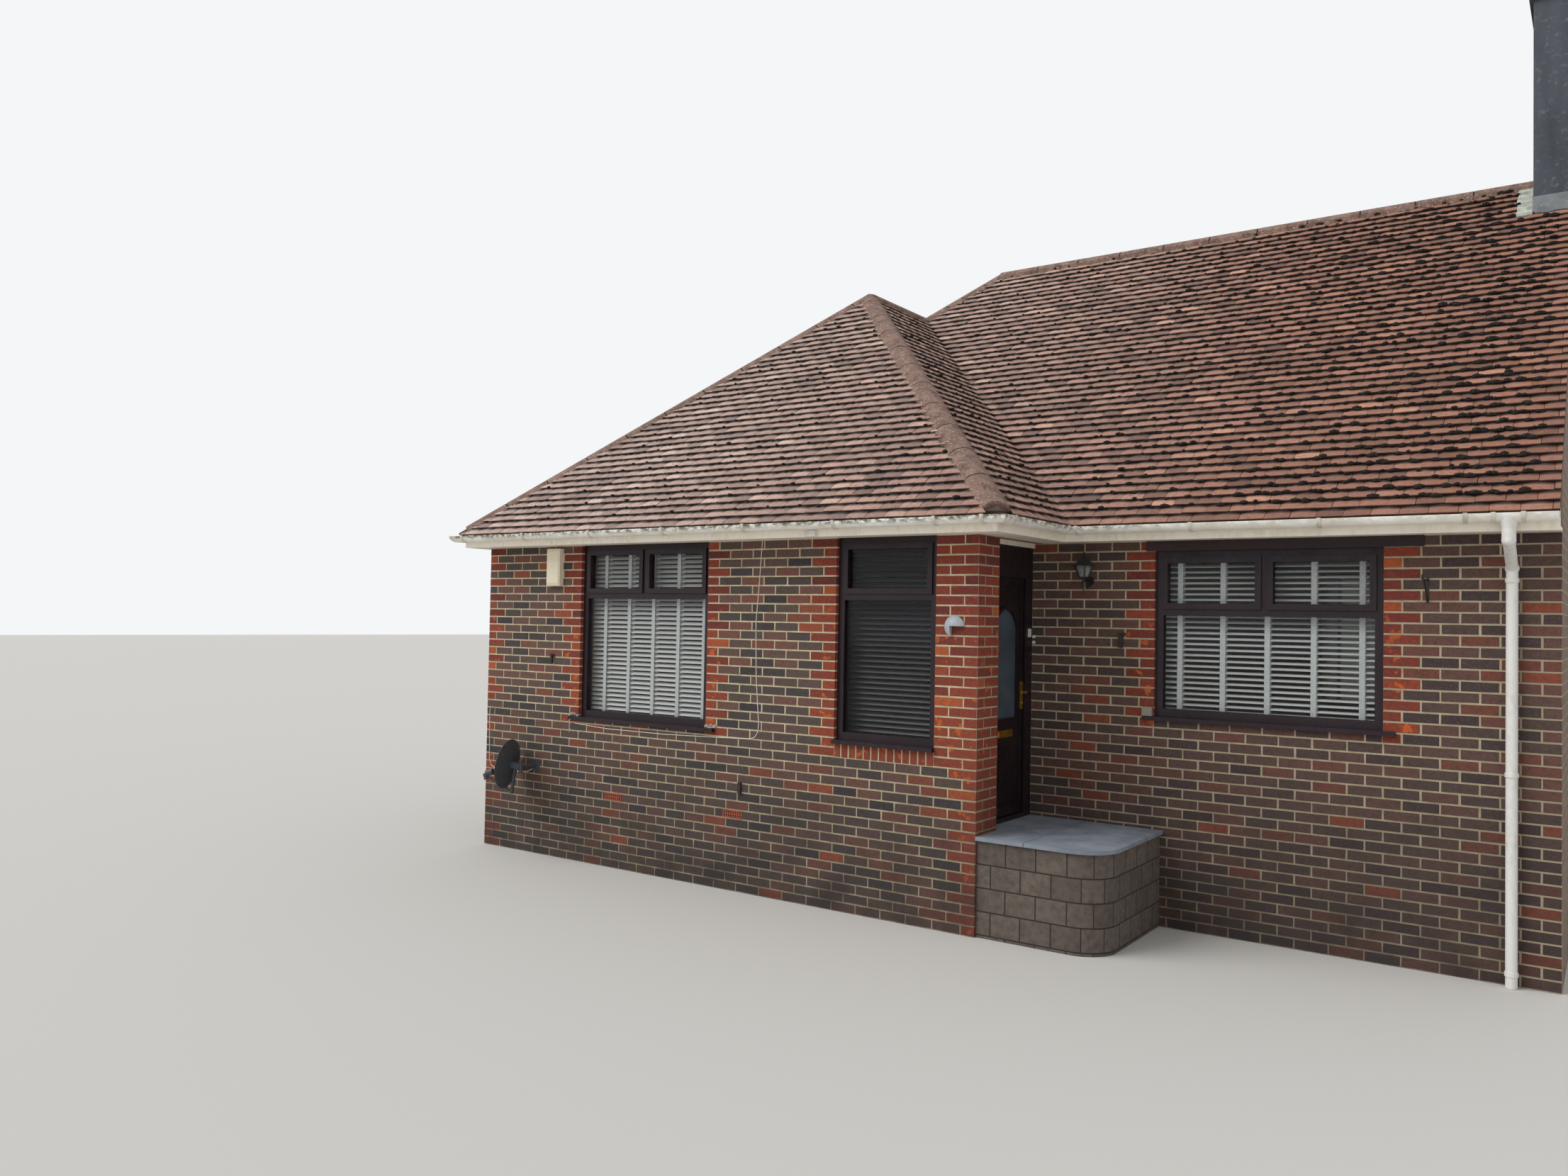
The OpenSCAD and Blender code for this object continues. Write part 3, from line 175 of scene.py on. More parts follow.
# %% Points in, plain mesh out
def point_mesh(name, rows, floats=(), vectors=()):
    """A mesh of points; each row is a position and then one value for each named attribute."""
    mesh = bpy.data.meshes.new(name)
    mesh.from_pydata([row[0] for row in rows], [], [])
    for i, label in enumerate([*vectors, *floats]):
        kind = "FLOAT_VECTOR" if label in vectors else "FLOAT"
        column = mesh.attributes.new(label, kind, "POINT")
        flat = np.array([row[1 + i] for row in rows], dtype=np.float32).ravel()
        column.data.foreach_set("vector" if kind == "FLOAT_VECTOR" else "value", flat)
    return mesh


def new_tree(name, sizes):
    """A geometry tree with a mesh in, a mesh out and a named input for each size."""
    tree = bpy.data.node_groups.new(name, "GeometryNodeTree")
    tree.interface.new_socket("Mesh", in_out="INPUT", socket_type="NodeSocketGeometry")
    tree.interface.new_socket("Mesh", in_out="OUTPUT", socket_type="NodeSocketGeometry")
    for label, value in sizes.items():
        kind = {int: "NodeSocketInt", float: "NodeSocketFloat"}.get(type(value), "NodeSocketMaterial")
        socket = tree.interface.new_socket(label, in_out="INPUT", socket_type=kind)
        socket.default_value = value
    return tree, tree.nodes.new("NodeGroupInput").outputs, tree.nodes.new("NodeGroupOutput")


def on_points(tree, points, shape, **ways):
    """Puts the shape on every point and makes plain mesh of it."""
    laid = add(tree, "GeometryNodeInstanceOnPoints", {"Points": points, "Instance": shape, **ways})
    return add(tree, "GeometryNodeRealizeInstances", laid)


def scatter(tree, given, out, shape, **ways):
    """Puts the shape on every point that came in, gives it its material and sends it out."""
    laid = on_points(tree, given["Mesh"], shape, **ways)
    laid = add(tree, "GeometryNodeSetMaterial", {"Geometry": laid, "Material": given["Material"]})
    tree.links.new(laid, out.inputs[0])


def close_blocks(tree, given, out, laid, place):
    """Moves the corners of the blocks to their place, gives them their material and sends them out."""
    laid = add(tree, "GeometryNodeSetPosition", {"Geometry": laid, "Position": place})
    laid = add(tree, "GeometryNodeSetMaterial", {"Geometry": laid, "Material": given["Material"]})
    tree.links.new(laid, out.inputs[0])


def lay_blocks(tree, given, block, label):
    """A unit block on every point. Also gives the point's place, and taken apart along x, y and z the
    place of a corner within its block and the point's own vector of that label."""
    here = add(tree, "GeometryNodeInputPosition")
    marked = add(tree, "GeometryNodeStoreNamedAttribute", {
        "Geometry": given["Mesh"], "Name": "spot", "Value": here}, data_type="FLOAT_VECTOR", domain="POINT")
    laid = on_points(tree, marked, block)
    spot, own = [add(tree, "GeometryNodeInputNamedAttribute", {"Name": name}, data_type="FLOAT_VECTOR")
                 for name in ("spot", label)]
    local = add(tree, VECTORS, here, spot, operation="SUBTRACT")
    part, own = [add(tree, "ShaderNodeSeparateXYZ", vector).node.outputs for vector in (local, own)]
    return laid, spot, part, own


def grow(name, points, tree, **sizes):
    """Runs the tree on the points and returns an object with the result as its plain mesh."""
    piece = bpy.data.objects.new(name, points)
    bpy.context.scene.collection.objects.link(piece)
    rule = piece.modifiers.new("rule", "NODES")
    rule.node_group = tree
    for socket in tree.interface.items_tree:
        key = socket.name.lower().replace(" ", "_")
        if socket.in_out == "INPUT" and key in sizes:
            rule[socket.identifier] = sizes[key]
    seen = piece.evaluated_get(bpy.context.evaluated_depsgraph_get())
    mesh = bpy.data.meshes.new_from_object(seen)
    piece.modifiers.remove(rule)
    piece.data = mesh
    print(name, "points:", len(points.vertices), "faces:", len(mesh.polygons))
    return piece


def keep_mesh(shape, name, material):
    """Makes an object of a mesh that was built in code."""
    mesh = bpy.data.meshes.new(name)
    shape.to_mesh(mesh)
    shape.free()
    mesh.materials.append(material)
    piece = bpy.data.objects.new(name, mesh)
    bpy.context.scene.collection.objects.link(piece)
    print(name, "faces:", len(mesh.polygons))
    return piece

# %% [markdown]
# ## Brick finish
# The bricks are fired clay, wire-cut and left with a sandy skin: field bricks from plum to near black,
# dressings round the openings and corners in soft red, some of them spalled to a bright orange. The
# finish reads each brick's own tone and kind from its points. Mortar is a buff cement and sand mix.
# To the right of the wing both are painted darker as painted shade, and the bricks there are also a little
# redder.
# All walls get darker towards their foot, partly from splashed dirt and partly from painted shade.

# %% Fired brick
# Painted shade: right of the wing, bricks and mortar are painted darker, coming in over this stretch.
PAINTED_SHADE_X = (HOME_X - 0.15, HOME_X)  # the change to the darker side happens over this stretch


def splash_and_shade(tree, height, most):
    """How much darker the wall gets towards its foot, partly splashed dirt and partly painted shade: most at
    the ground, in patches, none over 1.5 m.
    """
    patches = amount_of(tree, 260, 0.3, 0.7, 1.0, 0.5)
    return add(tree, MATH, amount_of(tree, height, 0.10, 1.50, 0.0, most), patches, operation="MULTIPLY")


fired_brick, t, s = finish("fired_clay_brick", "#5b4740", 0.88)  # dull, sandy, no sheen
tone, kind = [add(t, "ShaderNodeAttribute", out="Fac", attribute_name=name) for name in ("tone", "red")]
field = add(t, "ShaderNodeValToRGB", tone, stops=[
    (0.0, "#373335"), (0.2, "#443d3c"), (0.38, "#544740"), (0.55, "#624a43"), (0.72, "#6f4b41"),
    (0.88, "#7b4435"), (1.0, "#96492f")])
reds = add(t, "ShaderNodeValToRGB", tone, stops=[
    (0.0, "#652722"), (0.35, "#782f25"), (0.7, "#8b3925"), (0.9, "#9a4426"), (1.0, "#b05628")])
across, _, height = where(t)
burnt = amount_of(t, height, SOFFIT - 1.7, SOFFIT - 0.5, 0.0, 0.45)
# Painted shade right of the wing, and a redder tone for the bricks there.
field = layer(t, field, "#4d2d26", across, *PAINTED_SHADE_X, 0.3)
colour = layer(t, field, layer(t, reds, "#a34b28", burnt), kind)
spall = amount_of(t, 90, 0.60, 0.64, 0.8, detail=4)
for share in (kind, amount_of(t, height, SOFFIT - 1.0, SOFFIT - 0.3, 0.15, 1.0)):
    spall = add(t, MATH, spall, share, operation="MULTIPLY")
colour = layer(t, colour, "#cf6322", spall)
colour = layer(t, colour, "#2c2523", 24, 0.45, 0.75, 0.45)
colour = layer(t, colour, "#a58872", 9, 0.55, 0.8, 0.35)
# Darker towards the foot: partly splashed dirt, partly painted shade.
paint(s, layer(t, colour, "#2b2422", splash_and_shade(t, height, 0.85)))
relief(s, 5, 1.6, detail=5)

# %% [markdown]
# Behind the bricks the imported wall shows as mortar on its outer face. Inside the rooms the same wall is
# skimmed with plaster, so the finish asks whether a point lies inside the inner outline of the plan.

# %% Mortar outside, plaster inside
SKIN = 0.255  # just under the wall's thickness, so that its inner faces count as inside
ROOMS = ((-WING_W + SKIN, -SKIN, SKIN, 2.0), (-WING_W + SKIN, MAIN_W, WING_OUT + SKIN, DEPTH - SKIN))


def inside_room(tree):
    """One inside the rooms, zero outside, from Object coordinates."""
    x, y, _ = where(tree)
    total = None
    for x0, x1, y0, y1 in ROOMS:
        product = 1.0
        for value, test, limit in ((x, "GREATER_THAN", x0 + HOME_X), (x, "LESS_THAN", x1 + HOME_X),
                                   (y, "GREATER_THAN", y0 + HOME_Y), (y, "LESS_THAN", y1 + HOME_Y)):
            step = add(tree, MATH, value, limit, operation=test)
            product = add(tree, MATH, step, product, operation="MULTIPLY")
        total = add(tree, MATH, total, product, operation="MAXIMUM") if total else product
    return total


mortar, t, s = finish("sand_cement_mortar", "#c4b492", 0.95)  # buff, grainy, quite matt
colour = layer(t, "#d6c7a6", "#b2a386", 90, 0.35, 0.7)
colour = layer(t, colour, "#85765f", 4, 0.5, 0.8, 0.4)
across, _, height = where(t)
# Painted shade: the mortar right of the wing is painted darker and greyer.
colour = layer(t, colour, "#7b6f61", across, *PAINTED_SHADE_X, 0.35)
# Darker towards the foot: partly splashed dirt, partly painted shade.
colour = layer(t, colour, "#3f372f", splash_and_shade(t, height, 0.90))
paint(s, layer(t, colour, "#ddd8cb", inside_room(t)))
relief(s, 3, 1.0, detail=5)
dress(mortar, "wing_left_pier", "wing_window_walls", "wing_middle_pier", "door_pier", "main_left_pier",
      "main_window_wall", "main_right_pier", "left_side_wall", "rear_wall")

# %% [markdown]
# ## Brickwork
# The walls are laid in stretcher bond, 73.3 mm a course. The bond is set out from the openings, as a
# bricklayer does: each run between two edges holds a whole number of half bricks, and rows alternate.
# The first and last brick of a run next to an edge is a red one. A point carries each brick's size, and
# the tree shapes a block with a worn arris that stands 3 mm out of the mortar.

# %% Tree that lays a brick on each point
brick_tree, given, out = new_tree("lay_bricks", {
    "Proud": 0.003, "Arris": 0.0022, "Ragged": 0.0011, "Seed": 7, "Material": fired_brick})
g = brick_tree
block = add(g, "GeometryNodeMeshCube", {"Vertices Y": 3})
laid, spot, part, wide = lay_blocks(g, given, block, "size")
front = add(g, MATH, part[1], -0.25, operation="LESS_THAN")
back = add(g, MATH, part[1], 0.25, operation="GREATER_THAN")
inset = add(g, MATH, front, given["Arris"], operation="MULTIPLY")
x = add(g, MATH, wide[0], inset, operation="SUBTRACT")
x = add(g, MATH, x, part[0], operation="MULTIPLY")
z = add(g, MATH, wide[2], inset, operation="SUBTRACT")
z = add(g, MATH, z, part[2], operation="MULTIPLY")
mid = add(g, MATH, given["Arris"], given["Proud"], operation="SUBTRACT")
y = add(g, MATH, mid, inset, operation="SUBTRACT")
y = add(g, "ShaderNodeMix", {0: back, 2: y, 3: wide[1]}, data_type="FLOAT")
ragged = add(g, "FunctionNodeRandomValue", {0: (-1, -0.6, -1), 1: (1, 0.6, 1), "Seed": given["Seed"]},
             data_type="FLOAT_VECTOR")
ragged = add(g, VECTORS, {0: ragged, "Scale": given["Ragged"]}, operation="SCALE")
shape = add(g, "ShaderNodeCombineXYZ", x, y, z)
for shift in (spot, ragged):
    shape = add(g, VECTORS, shape, shift, operation="ADD")
close_blocks(g, given, out, laid, shape)
print("brick tree nodes:", len(g.nodes))

# %% [markdown]
# The setting-out is plain arithmetic, so Python does it. A wall is a list of runs (width, number of half
# bricks) and of openings (first and last run edge, head and foot as drops under the soffit).

# %% Setting out a wall
ROWS = 39
LAP_HEAD, LAP_FOOT = 0.030, 0.004  # a course breaks for an opening that it laps by more than this
SILL_GAP = 0.003  # from the foot of an opening to the brick that is cut to fit under it
LEAST_W, LEAST_H = 0.020, 0.015  # smaller cuts are left to the mortar
EDGE = 0.002  # how far bricks pass the corner of an opening, and stop short of a wall's end
WANDER = 0.0015  # how far upright joints stray
REVEAL = 0.034  # how far a brick beside an opening reaches back


def set_out(runs, openings, seed, start=0, left_red=1.0, right_red=1.0, all_red=False):
    """Bricks of one wall as points with size, tone and kind, along +X with the face on y = 0. The
    shares left_red and right_red say how many of the bricks at the wall's ends are red."""
    rng = random.Random(seed)
    edges = np.cumsum([0] + [halves for _, halves in runs])
    places = np.cumsum([0] + [width for width, _ in runs])
    places = places + JOINT / 2 * np.array([-1] + [0] * (len(runs) - 1) + [1])
    bricks = []
    for row in range(ROWS):
        luck = random.Random(row * 7 + 3).random()
        top, foot = row * COURSE + JOINT / 2, (row + 1) * COURSE - JOINT / 2
        stops = [(edges[a], edges[b], sill) for a, b, head, sill in openings
                 if top < sill - LAP_FOOT and foot > head + LAP_HEAD]
        for b in range(-((row + start) % 2), edges[-1], 2):
            pieces = [(max(b, 0), min(b + 2, edges[-1]), top)]
            for left, right, sill in stops:
                cuts = []
                for b0, b1, high in pieces:
                    under = (max(b0, left), min(b1, right), max(high, sill + SILL_GAP))
                    cuts += [(b0, min(b1, left), high), (max(b0, right), b1, high), under]
                pieces = [cut for cut in cuts if cut[1] > cut[0]]
            for b0, b1, high in pieces:
                cut_l = high == top and any(b0 == right for _, right, _ in stops)
                cut_r = high == top and any(b1 == left for left, _, _ in stops)
                x0 = np.interp(b0, edges, places) + (-EDGE if cut_l else JOINT / 2)
                x1 = np.interp(b1, edges, places) + (EDGE if cut_r else -JOINT / 2)
                if foot - high < LEAST_H or x1 - x0 < LEAST_W:
                    continue
                end_l, end_r = b0 == 0, b1 == edges[-1]
                red = all_red or cut_l or cut_r or end_l and luck < left_red or end_r and luck < right_red
                x0 += EDGE if end_l else 0 if cut_l else rng.uniform(-WANDER, WANDER)
                x1 -= EDGE if end_r else 0 if cut_r else rng.uniform(-WANDER, WANDER)
                size = (x1 - x0, REVEAL if cut_l or cut_r else 0.0, foot - high)
                tone = min(1.0, max(0.0, rng.gauss(0.45, 0.25)))
                bricks.append((((x0 + x1) / 2, 0, SOFFIT - (high + foot) / 2), size, tone, float(bool(red))))
    return bricks


def lay(name, bricks, turn, at):
    """Shapes the bricks of a wall, turns them to face the right way and puts them on it."""
    piece = grow(name, point_mesh(name, bricks, ["tone", "red"], ["size"]), brick_tree, seed=len(bricks))
    piece.data.transform(wall_place(turn, at))
    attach(piece, "house")

# %% The wing's front, with the soldier course under its narrow window
CORNER, WIDE, BETWEEN, NARROW, DOOR_PIER = 1.249, 1.498, 1.278, 0.872, 0.338  # widths from the left
SOLDIERS, SOLDIER_H, SOLDIER_BED = 13, 0.100, 0.104
front = set_out([(CORNER, 11), (WIDE, 14), (BETWEEN, 11), (NARROW, 8), (DOOR_PIER, 3)],
                [(1, 2, 0, WING_SILL), (3, 4, 0, WING_SILL + SOLDIER_BED)], 11, left_red=0.6)
for i in range(SOLDIERS):
    x = WING_W - DOOR_PIER - NARROW + (i + 0.5) * NARROW / SOLDIERS
    size = (NARROW / SOLDIERS - JOINT, 0.0, SOLDIER_H)
    front.append(((x, 0, SOFFIT - WING_SILL - SOLDIER_BED / 2), size, random.Random(i).random() * 0.8, 1.0))
lay("bricks_wing_front", front, 0, (-WING_W, 0))

# %% The other walls
lay("bricks_door_pier_side", set_out([(DOOR_PIER, 3)], [], 5, start=1, all_red=True), 90, (0, 0))
lay("bricks_main_front", set_out([(0.975, 9), (1.545, 14), (0.998, 9)], [(1, 2, 0, MAIN_SILL)], 23,
                                 left_red=0.0, right_red=0.0), 0, (-0.1, WING_OUT))
lay("bricks_left_side", set_out([(2.859, 25), (NARROW, 8), (3.731, 33)], [(1, 2, 0, WING_SILL)], 31,
                                start=1, right_red=0.6), *LEFT_WALL)
lay("bricks_rear", set_out([(1.671, 15), (NARROW, 8), (3.363, 29), (WIDE, 13), (CORNER, 11)],
                           [(1, 2, 0, WING_SILL), (3, 4, 0, WING_SILL)], 41, left_red=0.0), *REAR_WALL)

# %% [markdown]
# ## Roof tiles
# The roof is covered with plain clay tiles, machine pressed with a slight camber: 165 mm wide, laid with
# 100 mm of each showing and the joints broken. A point stands for each tile. The tree gives it a cambered
# body that rises 18 mm at its tail, and the finish paints shade on the tail and on the tile just below it,
# so the dark lines there are partly relief and partly painted shade. The hips, valleys and party line are
# cut afterwards, as a tiler cuts them. The lowest course reaches out over the gutter.

# %% Clay tile finish
clay_tile, t, s = finish("pressed_clay_tile", "#6e5148", 0.82)  # matt, sanded and weathered
tone, under, far = [add(t, "ShaderNodeAttribute", out="Fac", attribute_name=name)
                    for name in ("tone", "under", "far")]
ripe = add(t, "ShaderNodeValToRGB", tone, stops=[
    (0.0, "#6e5147"), (0.3, "#8f6959"), (0.6, "#a67967"), (0.9, "#bd8c78"), (1.0, "#d09c82")])
pale = add(t, "ShaderNodeValToRGB", tone, stops=[
    (0.0, "#9b867d"), (0.35, "#ba9f94"), (0.7, "#ccb1a4"), (1.0, "#dfc6b8")])
across = where(t)[0]
colour = layer(t, pale, ripe, across, -2.2, 2.4, 1.0, 0.1)
colour = layer(t, colour, "#45342d", 30, 0.48, 0.74, 0.5, detail=5)
colour = layer(t, colour, "#b39a86", 12, 0.60, 0.72, 0.45, detail=4)
rust = amount_of(t, 60, 0.57, 0.65, detail=5)
rust = add(t, MATH, rust, amount_of(t, across, 1.5, 4.4, 0.85), operation="MULTIPLY")
colour = layer(t, colour, "#ab6c48", rust)
colour = layer(t, colour, "#8c5238", across, 0.8, 4.4, 0.3)
# Painted shade: each tile's tail and underside, and the band of its face just below the next course's tail,
# are painted near black.
tail_face = amount_of(t, under, 0.1, 0.5, 0.94)
under_next_tail = amount_of(t, far, 0.50, 0.74, 0.94)
dirt_and_shade = add(t, MATH, tail_face, under_next_tail, operation="MAXIMUM")
paint(s, layer(t, colour, "#130d0c", dirt_and_shade))
relief(s, 7, 1.8, detail=5)

# %% Tree that lays a tile on each point
tile_tree, given, out = new_tree("lay_tiles", {
    "Width": 0.162, "Length": 0.118, "Thickness": 0.018, "Camber": 0.007, "Tail Bow": 0.008,
    "Fall": 0.0185, "Material": clay_tile})
g = tile_tree
block = add(g, "GeometryNodeMeshCube", {"Vertices X": 4})
laid, spot, part, crook = lay_blocks(g, given, block, "lift")
x = add(g, MATH, part[0], given["Width"], operation="MULTIPLY")
up = add(g, MATH, part[1], 0.5, operation="ADD")
y = add(g, MATH, up, given["Length"], operation="MULTIPLY")
y = add(g, MATH, part[0], crook[0], y, operation="MULTIPLY_ADD")
bow = add(g, MATH, part[0], part[0], operation="MULTIPLY")
bow = add(g, MATH, bow, -4.0, 1.0, operation="MULTIPLY_ADD")
lifted = add(g, MATH, 1.0, bow, operation="SUBTRACT")
lifted = add(g, MATH, lifted, given["Tail Bow"], operation="MULTIPLY")
tail = add(g, MATH, 1.0, up, operation="SUBTRACT")
y = add(g, MATH, lifted, tail, y, operation="MULTIPLY_ADD")
rise = add(g, MATH, bow, given["Camber"], operation="MULTIPLY")
rise = add(g, MATH, tail, given["Fall"], rise, operation="MULTIPLY_ADD")
rise = add(g, MATH, part[0], crook[1], rise, operation="MULTIPLY_ADD")
rise = add(g, MATH, rise, crook[2], operation="ADD")
thick = add(g, MATH, part[2], 0.5, operation="SUBTRACT")
z = add(g, MATH, thick, given["Thickness"], rise, operation="MULTIPLY_ADD")
shape = add(g, "ShaderNodeCombineXYZ", x, y, z)
shape = add(g, VECTORS, shape, spot, operation="ADD")
below = add(g, MATH, part[2], 0.0, operation="LESS_THAN")
for name, value in (("under", below), ("far", up)):
    laid = add(g, "GeometryNodeStoreNamedAttribute", {"Geometry": laid, "Name": name, "Value": value},
               data_type="FLOAT", domain="POINT")
close_blocks(g, given, out, laid, shape)
print("tile tree nodes:", len(g.nodes))

# %% [markdown]
# Each slope has its own drawing board: u runs along the eaves and v up the slope. The board's plan
# outline is the roof's own, so the tiles meet where the slopes meet. Arched tiles cover the hips and
# ridges, so those lines are listed too, with where the first arched tile starts along each of them and
# how far the row runs past its upper end.

# %% The six slopes and the lines between them
PITCH = math.radians(42)
EAVES_Z = SOFFIT + 0.128
E_L, E_R, E_F, E_M, E_B = -5.345, 0.314, -0.314, 0.852, 7.776  # eaves: left, right, wing, main, back
W_HALF, M_HALF = (E_R - E_L) / 2, (E_B - E_M) / 2
W_RIDGE = (E_L + W_HALF, E_F + W_HALF)
W_END = (E_L + W_HALF, E_M + W_HALF)
M_RIDGE = (E_L + M_HALF, E_M + M_HALF)
PARTY_END = (MAIN_W, M_RIDGE[1])
SLOPES = {
    "wing_front": ([(E_L, E_F), (E_R, E_F), W_RIDGE], (0, E_F), 0),
    "wing_right": ([(E_R, E_F), (E_R, E_M), W_END, W_RIDGE], (E_R, 0), 90),
    "wing_left": ([(E_L, E_F), W_RIDGE, W_END, (E_L, W_END[1])], (E_L, 0), -90),
    "main_front": ([(E_R, E_M), (MAIN_W, E_M), PARTY_END, M_RIDGE, W_END], (0, E_M), 0),
    "main_left": ([(E_L, W_END[1]), W_END, M_RIDGE, (E_L, E_B)], (E_L, 0), -90),
    "main_rear": ([(E_L, E_B), M_RIDGE, PARTY_END, (MAIN_W, E_B)], (0, E_B), 180),
}
CAP_W, CAP_LEN, CAP_R, CAP_RISE, CAP_BED, HIP_START = 0.222, 0.450, 0.130, 0.020, 0.006, 0.090
CAP_LINES = [((E_L, E_F), W_RIDGE, HIP_START, CAP_W), ((E_R, E_F), W_RIDGE, HIP_START, CAP_W),
             ((E_L, E_B), M_RIDGE, HIP_START, CAP_W), (W_END, M_RIDGE, -CAP_W, CAP_W),
             (W_RIDGE, W_END, 0.0, CAP_W), (M_RIDGE, PARTY_END, 0.0, 0.0)]
HEIGHTS = {W_RIDGE: W_HALF, W_END: W_HALF, M_RIDGE: M_HALF, PARTY_END: M_HALF}  # over the eaves, by plan


def board(plan, at, turn):
    """The slope's matrix from board to model, and its outline on the board."""
    flat = Matrix.Translation((*at, EAVES_Z)) @ Matrix.Rotation(math.radians(turn), 4, "Z")
    drawn = [flat.inverted() @ Vector((*p, EAVES_Z)) for p in plan]
    return HOME @ flat @ Matrix.Rotation(PITCH, 4, "X"), [(p.x, p.y / math.cos(PITCH)) for p in drawn]


def reach(outline, u, v):
    """How far a point on the board lies inside the outline, negative outside."""
    area = sum(a[0] * b[1] - b[0] * a[1] for a, b in zip(outline, outline[1:] + outline[:1]))
    best = 1e9
    for a, b in zip(outline, outline[1:] + outline[:1]):
        du, dv = b[0] - a[0], b[1] - a[1]
        side = (du * (v - a[1]) - dv * (u - a[0])) / math.hypot(du, dv)
        best = min(best, side * (1 if area > 0 else -1))
    return best


def cap_line(low, high, stop):
    """A hip or ridge in the air, from its lower or left end, and no further to the right than stop."""
    start, end = [Vector((*p, EAVES_Z + HEIGHTS.get(p, 0.0) * math.tan(PITCH))) for p in (low, high)]
    end.x = min(end.x, stop)
    return start, end


print("wing ridge:", [round(v, 3) for v in W_RIDGE], "main ridge:", [round(v, 3) for v in M_RIDGE])

# %% Tiles and moss on each slope
GAUGE, TILE_W = 0.100, 0.165
OVER_GUTTER = 0.055  # how far the lowest course passes the edge of its slope
TILE_BED = 0.004  # from the slope to the underside of a tile's head
TILE_PAST = 0.13  # a tile whose middle lies further outside the slope is left off
MOSS_INSIDE = 0.12  # clumps stay this far inside the slope's edges, clear of the arched tiles
MOSS_SPREADS = (0.016, 0.05, 0.08)  # in the joint, beside it, and over the tile where it is damp
UNDER_CAP = 0.100  # how far the tiles stop short of a hip or ridge
STACK = [Vector(corner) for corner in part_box("chimney_stack")]
moss_points = []


def tile_slope(name, plan, at, turn):
    """Sets out and shapes the tiles of one slope, and notes where moss grows in their joints."""
    rng = random.Random(name)
    matrix, outline = board(plan, at, turn)
    us, vs = [p[0] for p in outline], [p[1] for p in outline]
    rows = []
    for k in range(int((max(vs) + OVER_GUTTER) / GAUGE) + 1):
        shift = (k % 2) * TILE_W / 2 + rng.uniform(-0.004, 0.004)
        for j in range(int(min(us) / TILE_W) - 2, int(max(us) / TILE_W) + 3):
            u, v = j * TILE_W + shift, k * GAUGE - OVER_GUTTER
            middle = matrix @ Vector((u, v + GAUGE / 2, 0))
            in_stack = STACK[0].x < middle.x and STACK[0].y < middle.y < STACK[1].y
            if in_stack or reach(outline, u, v + GAUGE / 2) < -TILE_PAST:
                continue
            spot = (u + rng.uniform(-0.001, 0.001), v + rng.uniform(-0.003, 0.003) * (k > 0), TILE_BED)
            lift = (rng.uniform(-0.004, 0.004), rng.uniform(-0.003, 0.003), rng.uniform(-0.001, 0.0015))
            rows.append((spot, lift, min(1, max(0, rng.gauss(0.45, 0.22)))))
            damp = min(1.0, max(0.0, middle.x / 4.0))
            for spread in MOSS_SPREADS:
                chance = (0.6 + 0.35 * damp) * (1 if spread == MOSS_SPREADS[0] else damp)
                joint = Vector((u - TILE_W / 2 + rng.uniform(-spread, spread),
                                v + rng.uniform(-0.018, 0.010), rng.uniform(0.019, 0.027)))
                if reach(outline, joint.x, joint.y) > MOSS_INSIDE and k > 0 and rng.random() < chance:
                    size = rng.uniform(0.4 + 0.1 * damp, 0.8 + 0.45 * damp)
                    moss_points.append((matrix @ joint, math.radians(turn), size))
    piece = grow("tiles_" + name, point_mesh(name, rows, ["tone"], ["lift"]), tile_tree)
    piece.data.transform(matrix)
    return piece


def trim(piece, plan, outline):
    """Cuts the tiles at the upright planes over the plan's sides, but not at the eaves, and closes the
    cuts. Under a hip or ridge tile they stop short of the line, on its bed of mortar."""
    mesh = bmesh.new()
    mesh.from_mesh(piece.data)
    corners = [HOME @ Vector((*p, 0)) for p in plan]
    middle = sum(corners, Vector()) / len(corners)
    for i, a in enumerate(corners):
        j = (i + 1) % len(corners)
        if abs(outline[i][1]) + abs(outline[j][1]) < 1e-4:
            continue
        along = (corners[j] - a).normalized()
        away = Vector((along.y, -along.x, 0))
        away = -away if away.dot(middle - a) > 0 else away
        capped = any({plan[i], plan[j]} == {low, high} for low, high, *_ in CAP_LINES)
        place = a - (UNDER_CAP if capped else 0.0) * away
        cut = bmesh.ops.bisect_plane(mesh, geom=mesh.verts[:] + mesh.edges[:] + mesh.faces[:], dist=1e-5,
                                     plane_co=place, plane_no=away, clear_outer=True)
        rims = [edge for edge in cut["geom_cut"] if isinstance(edge, bmesh.types.BMEdge)]
        bmesh.ops.holes_fill(mesh, edges=rims, sides=0)
    mesh.to_mesh(piece.data)
    mesh.free()


for name, (plan, at, turn) in SLOPES.items():
    piece = tile_slope(name, plan, at, turn)
    trim(piece, plan, board(plan, at, turn)[1])
    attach(piece, "house")
print("moss clumps:", len(moss_points))

# %% [markdown]
# Moss and dark lichen sit in the joints between the tiles. Each clump is a small lump with its own size
# and squash. To the right they are thicker and spread over the tiles too, as on the real roof.

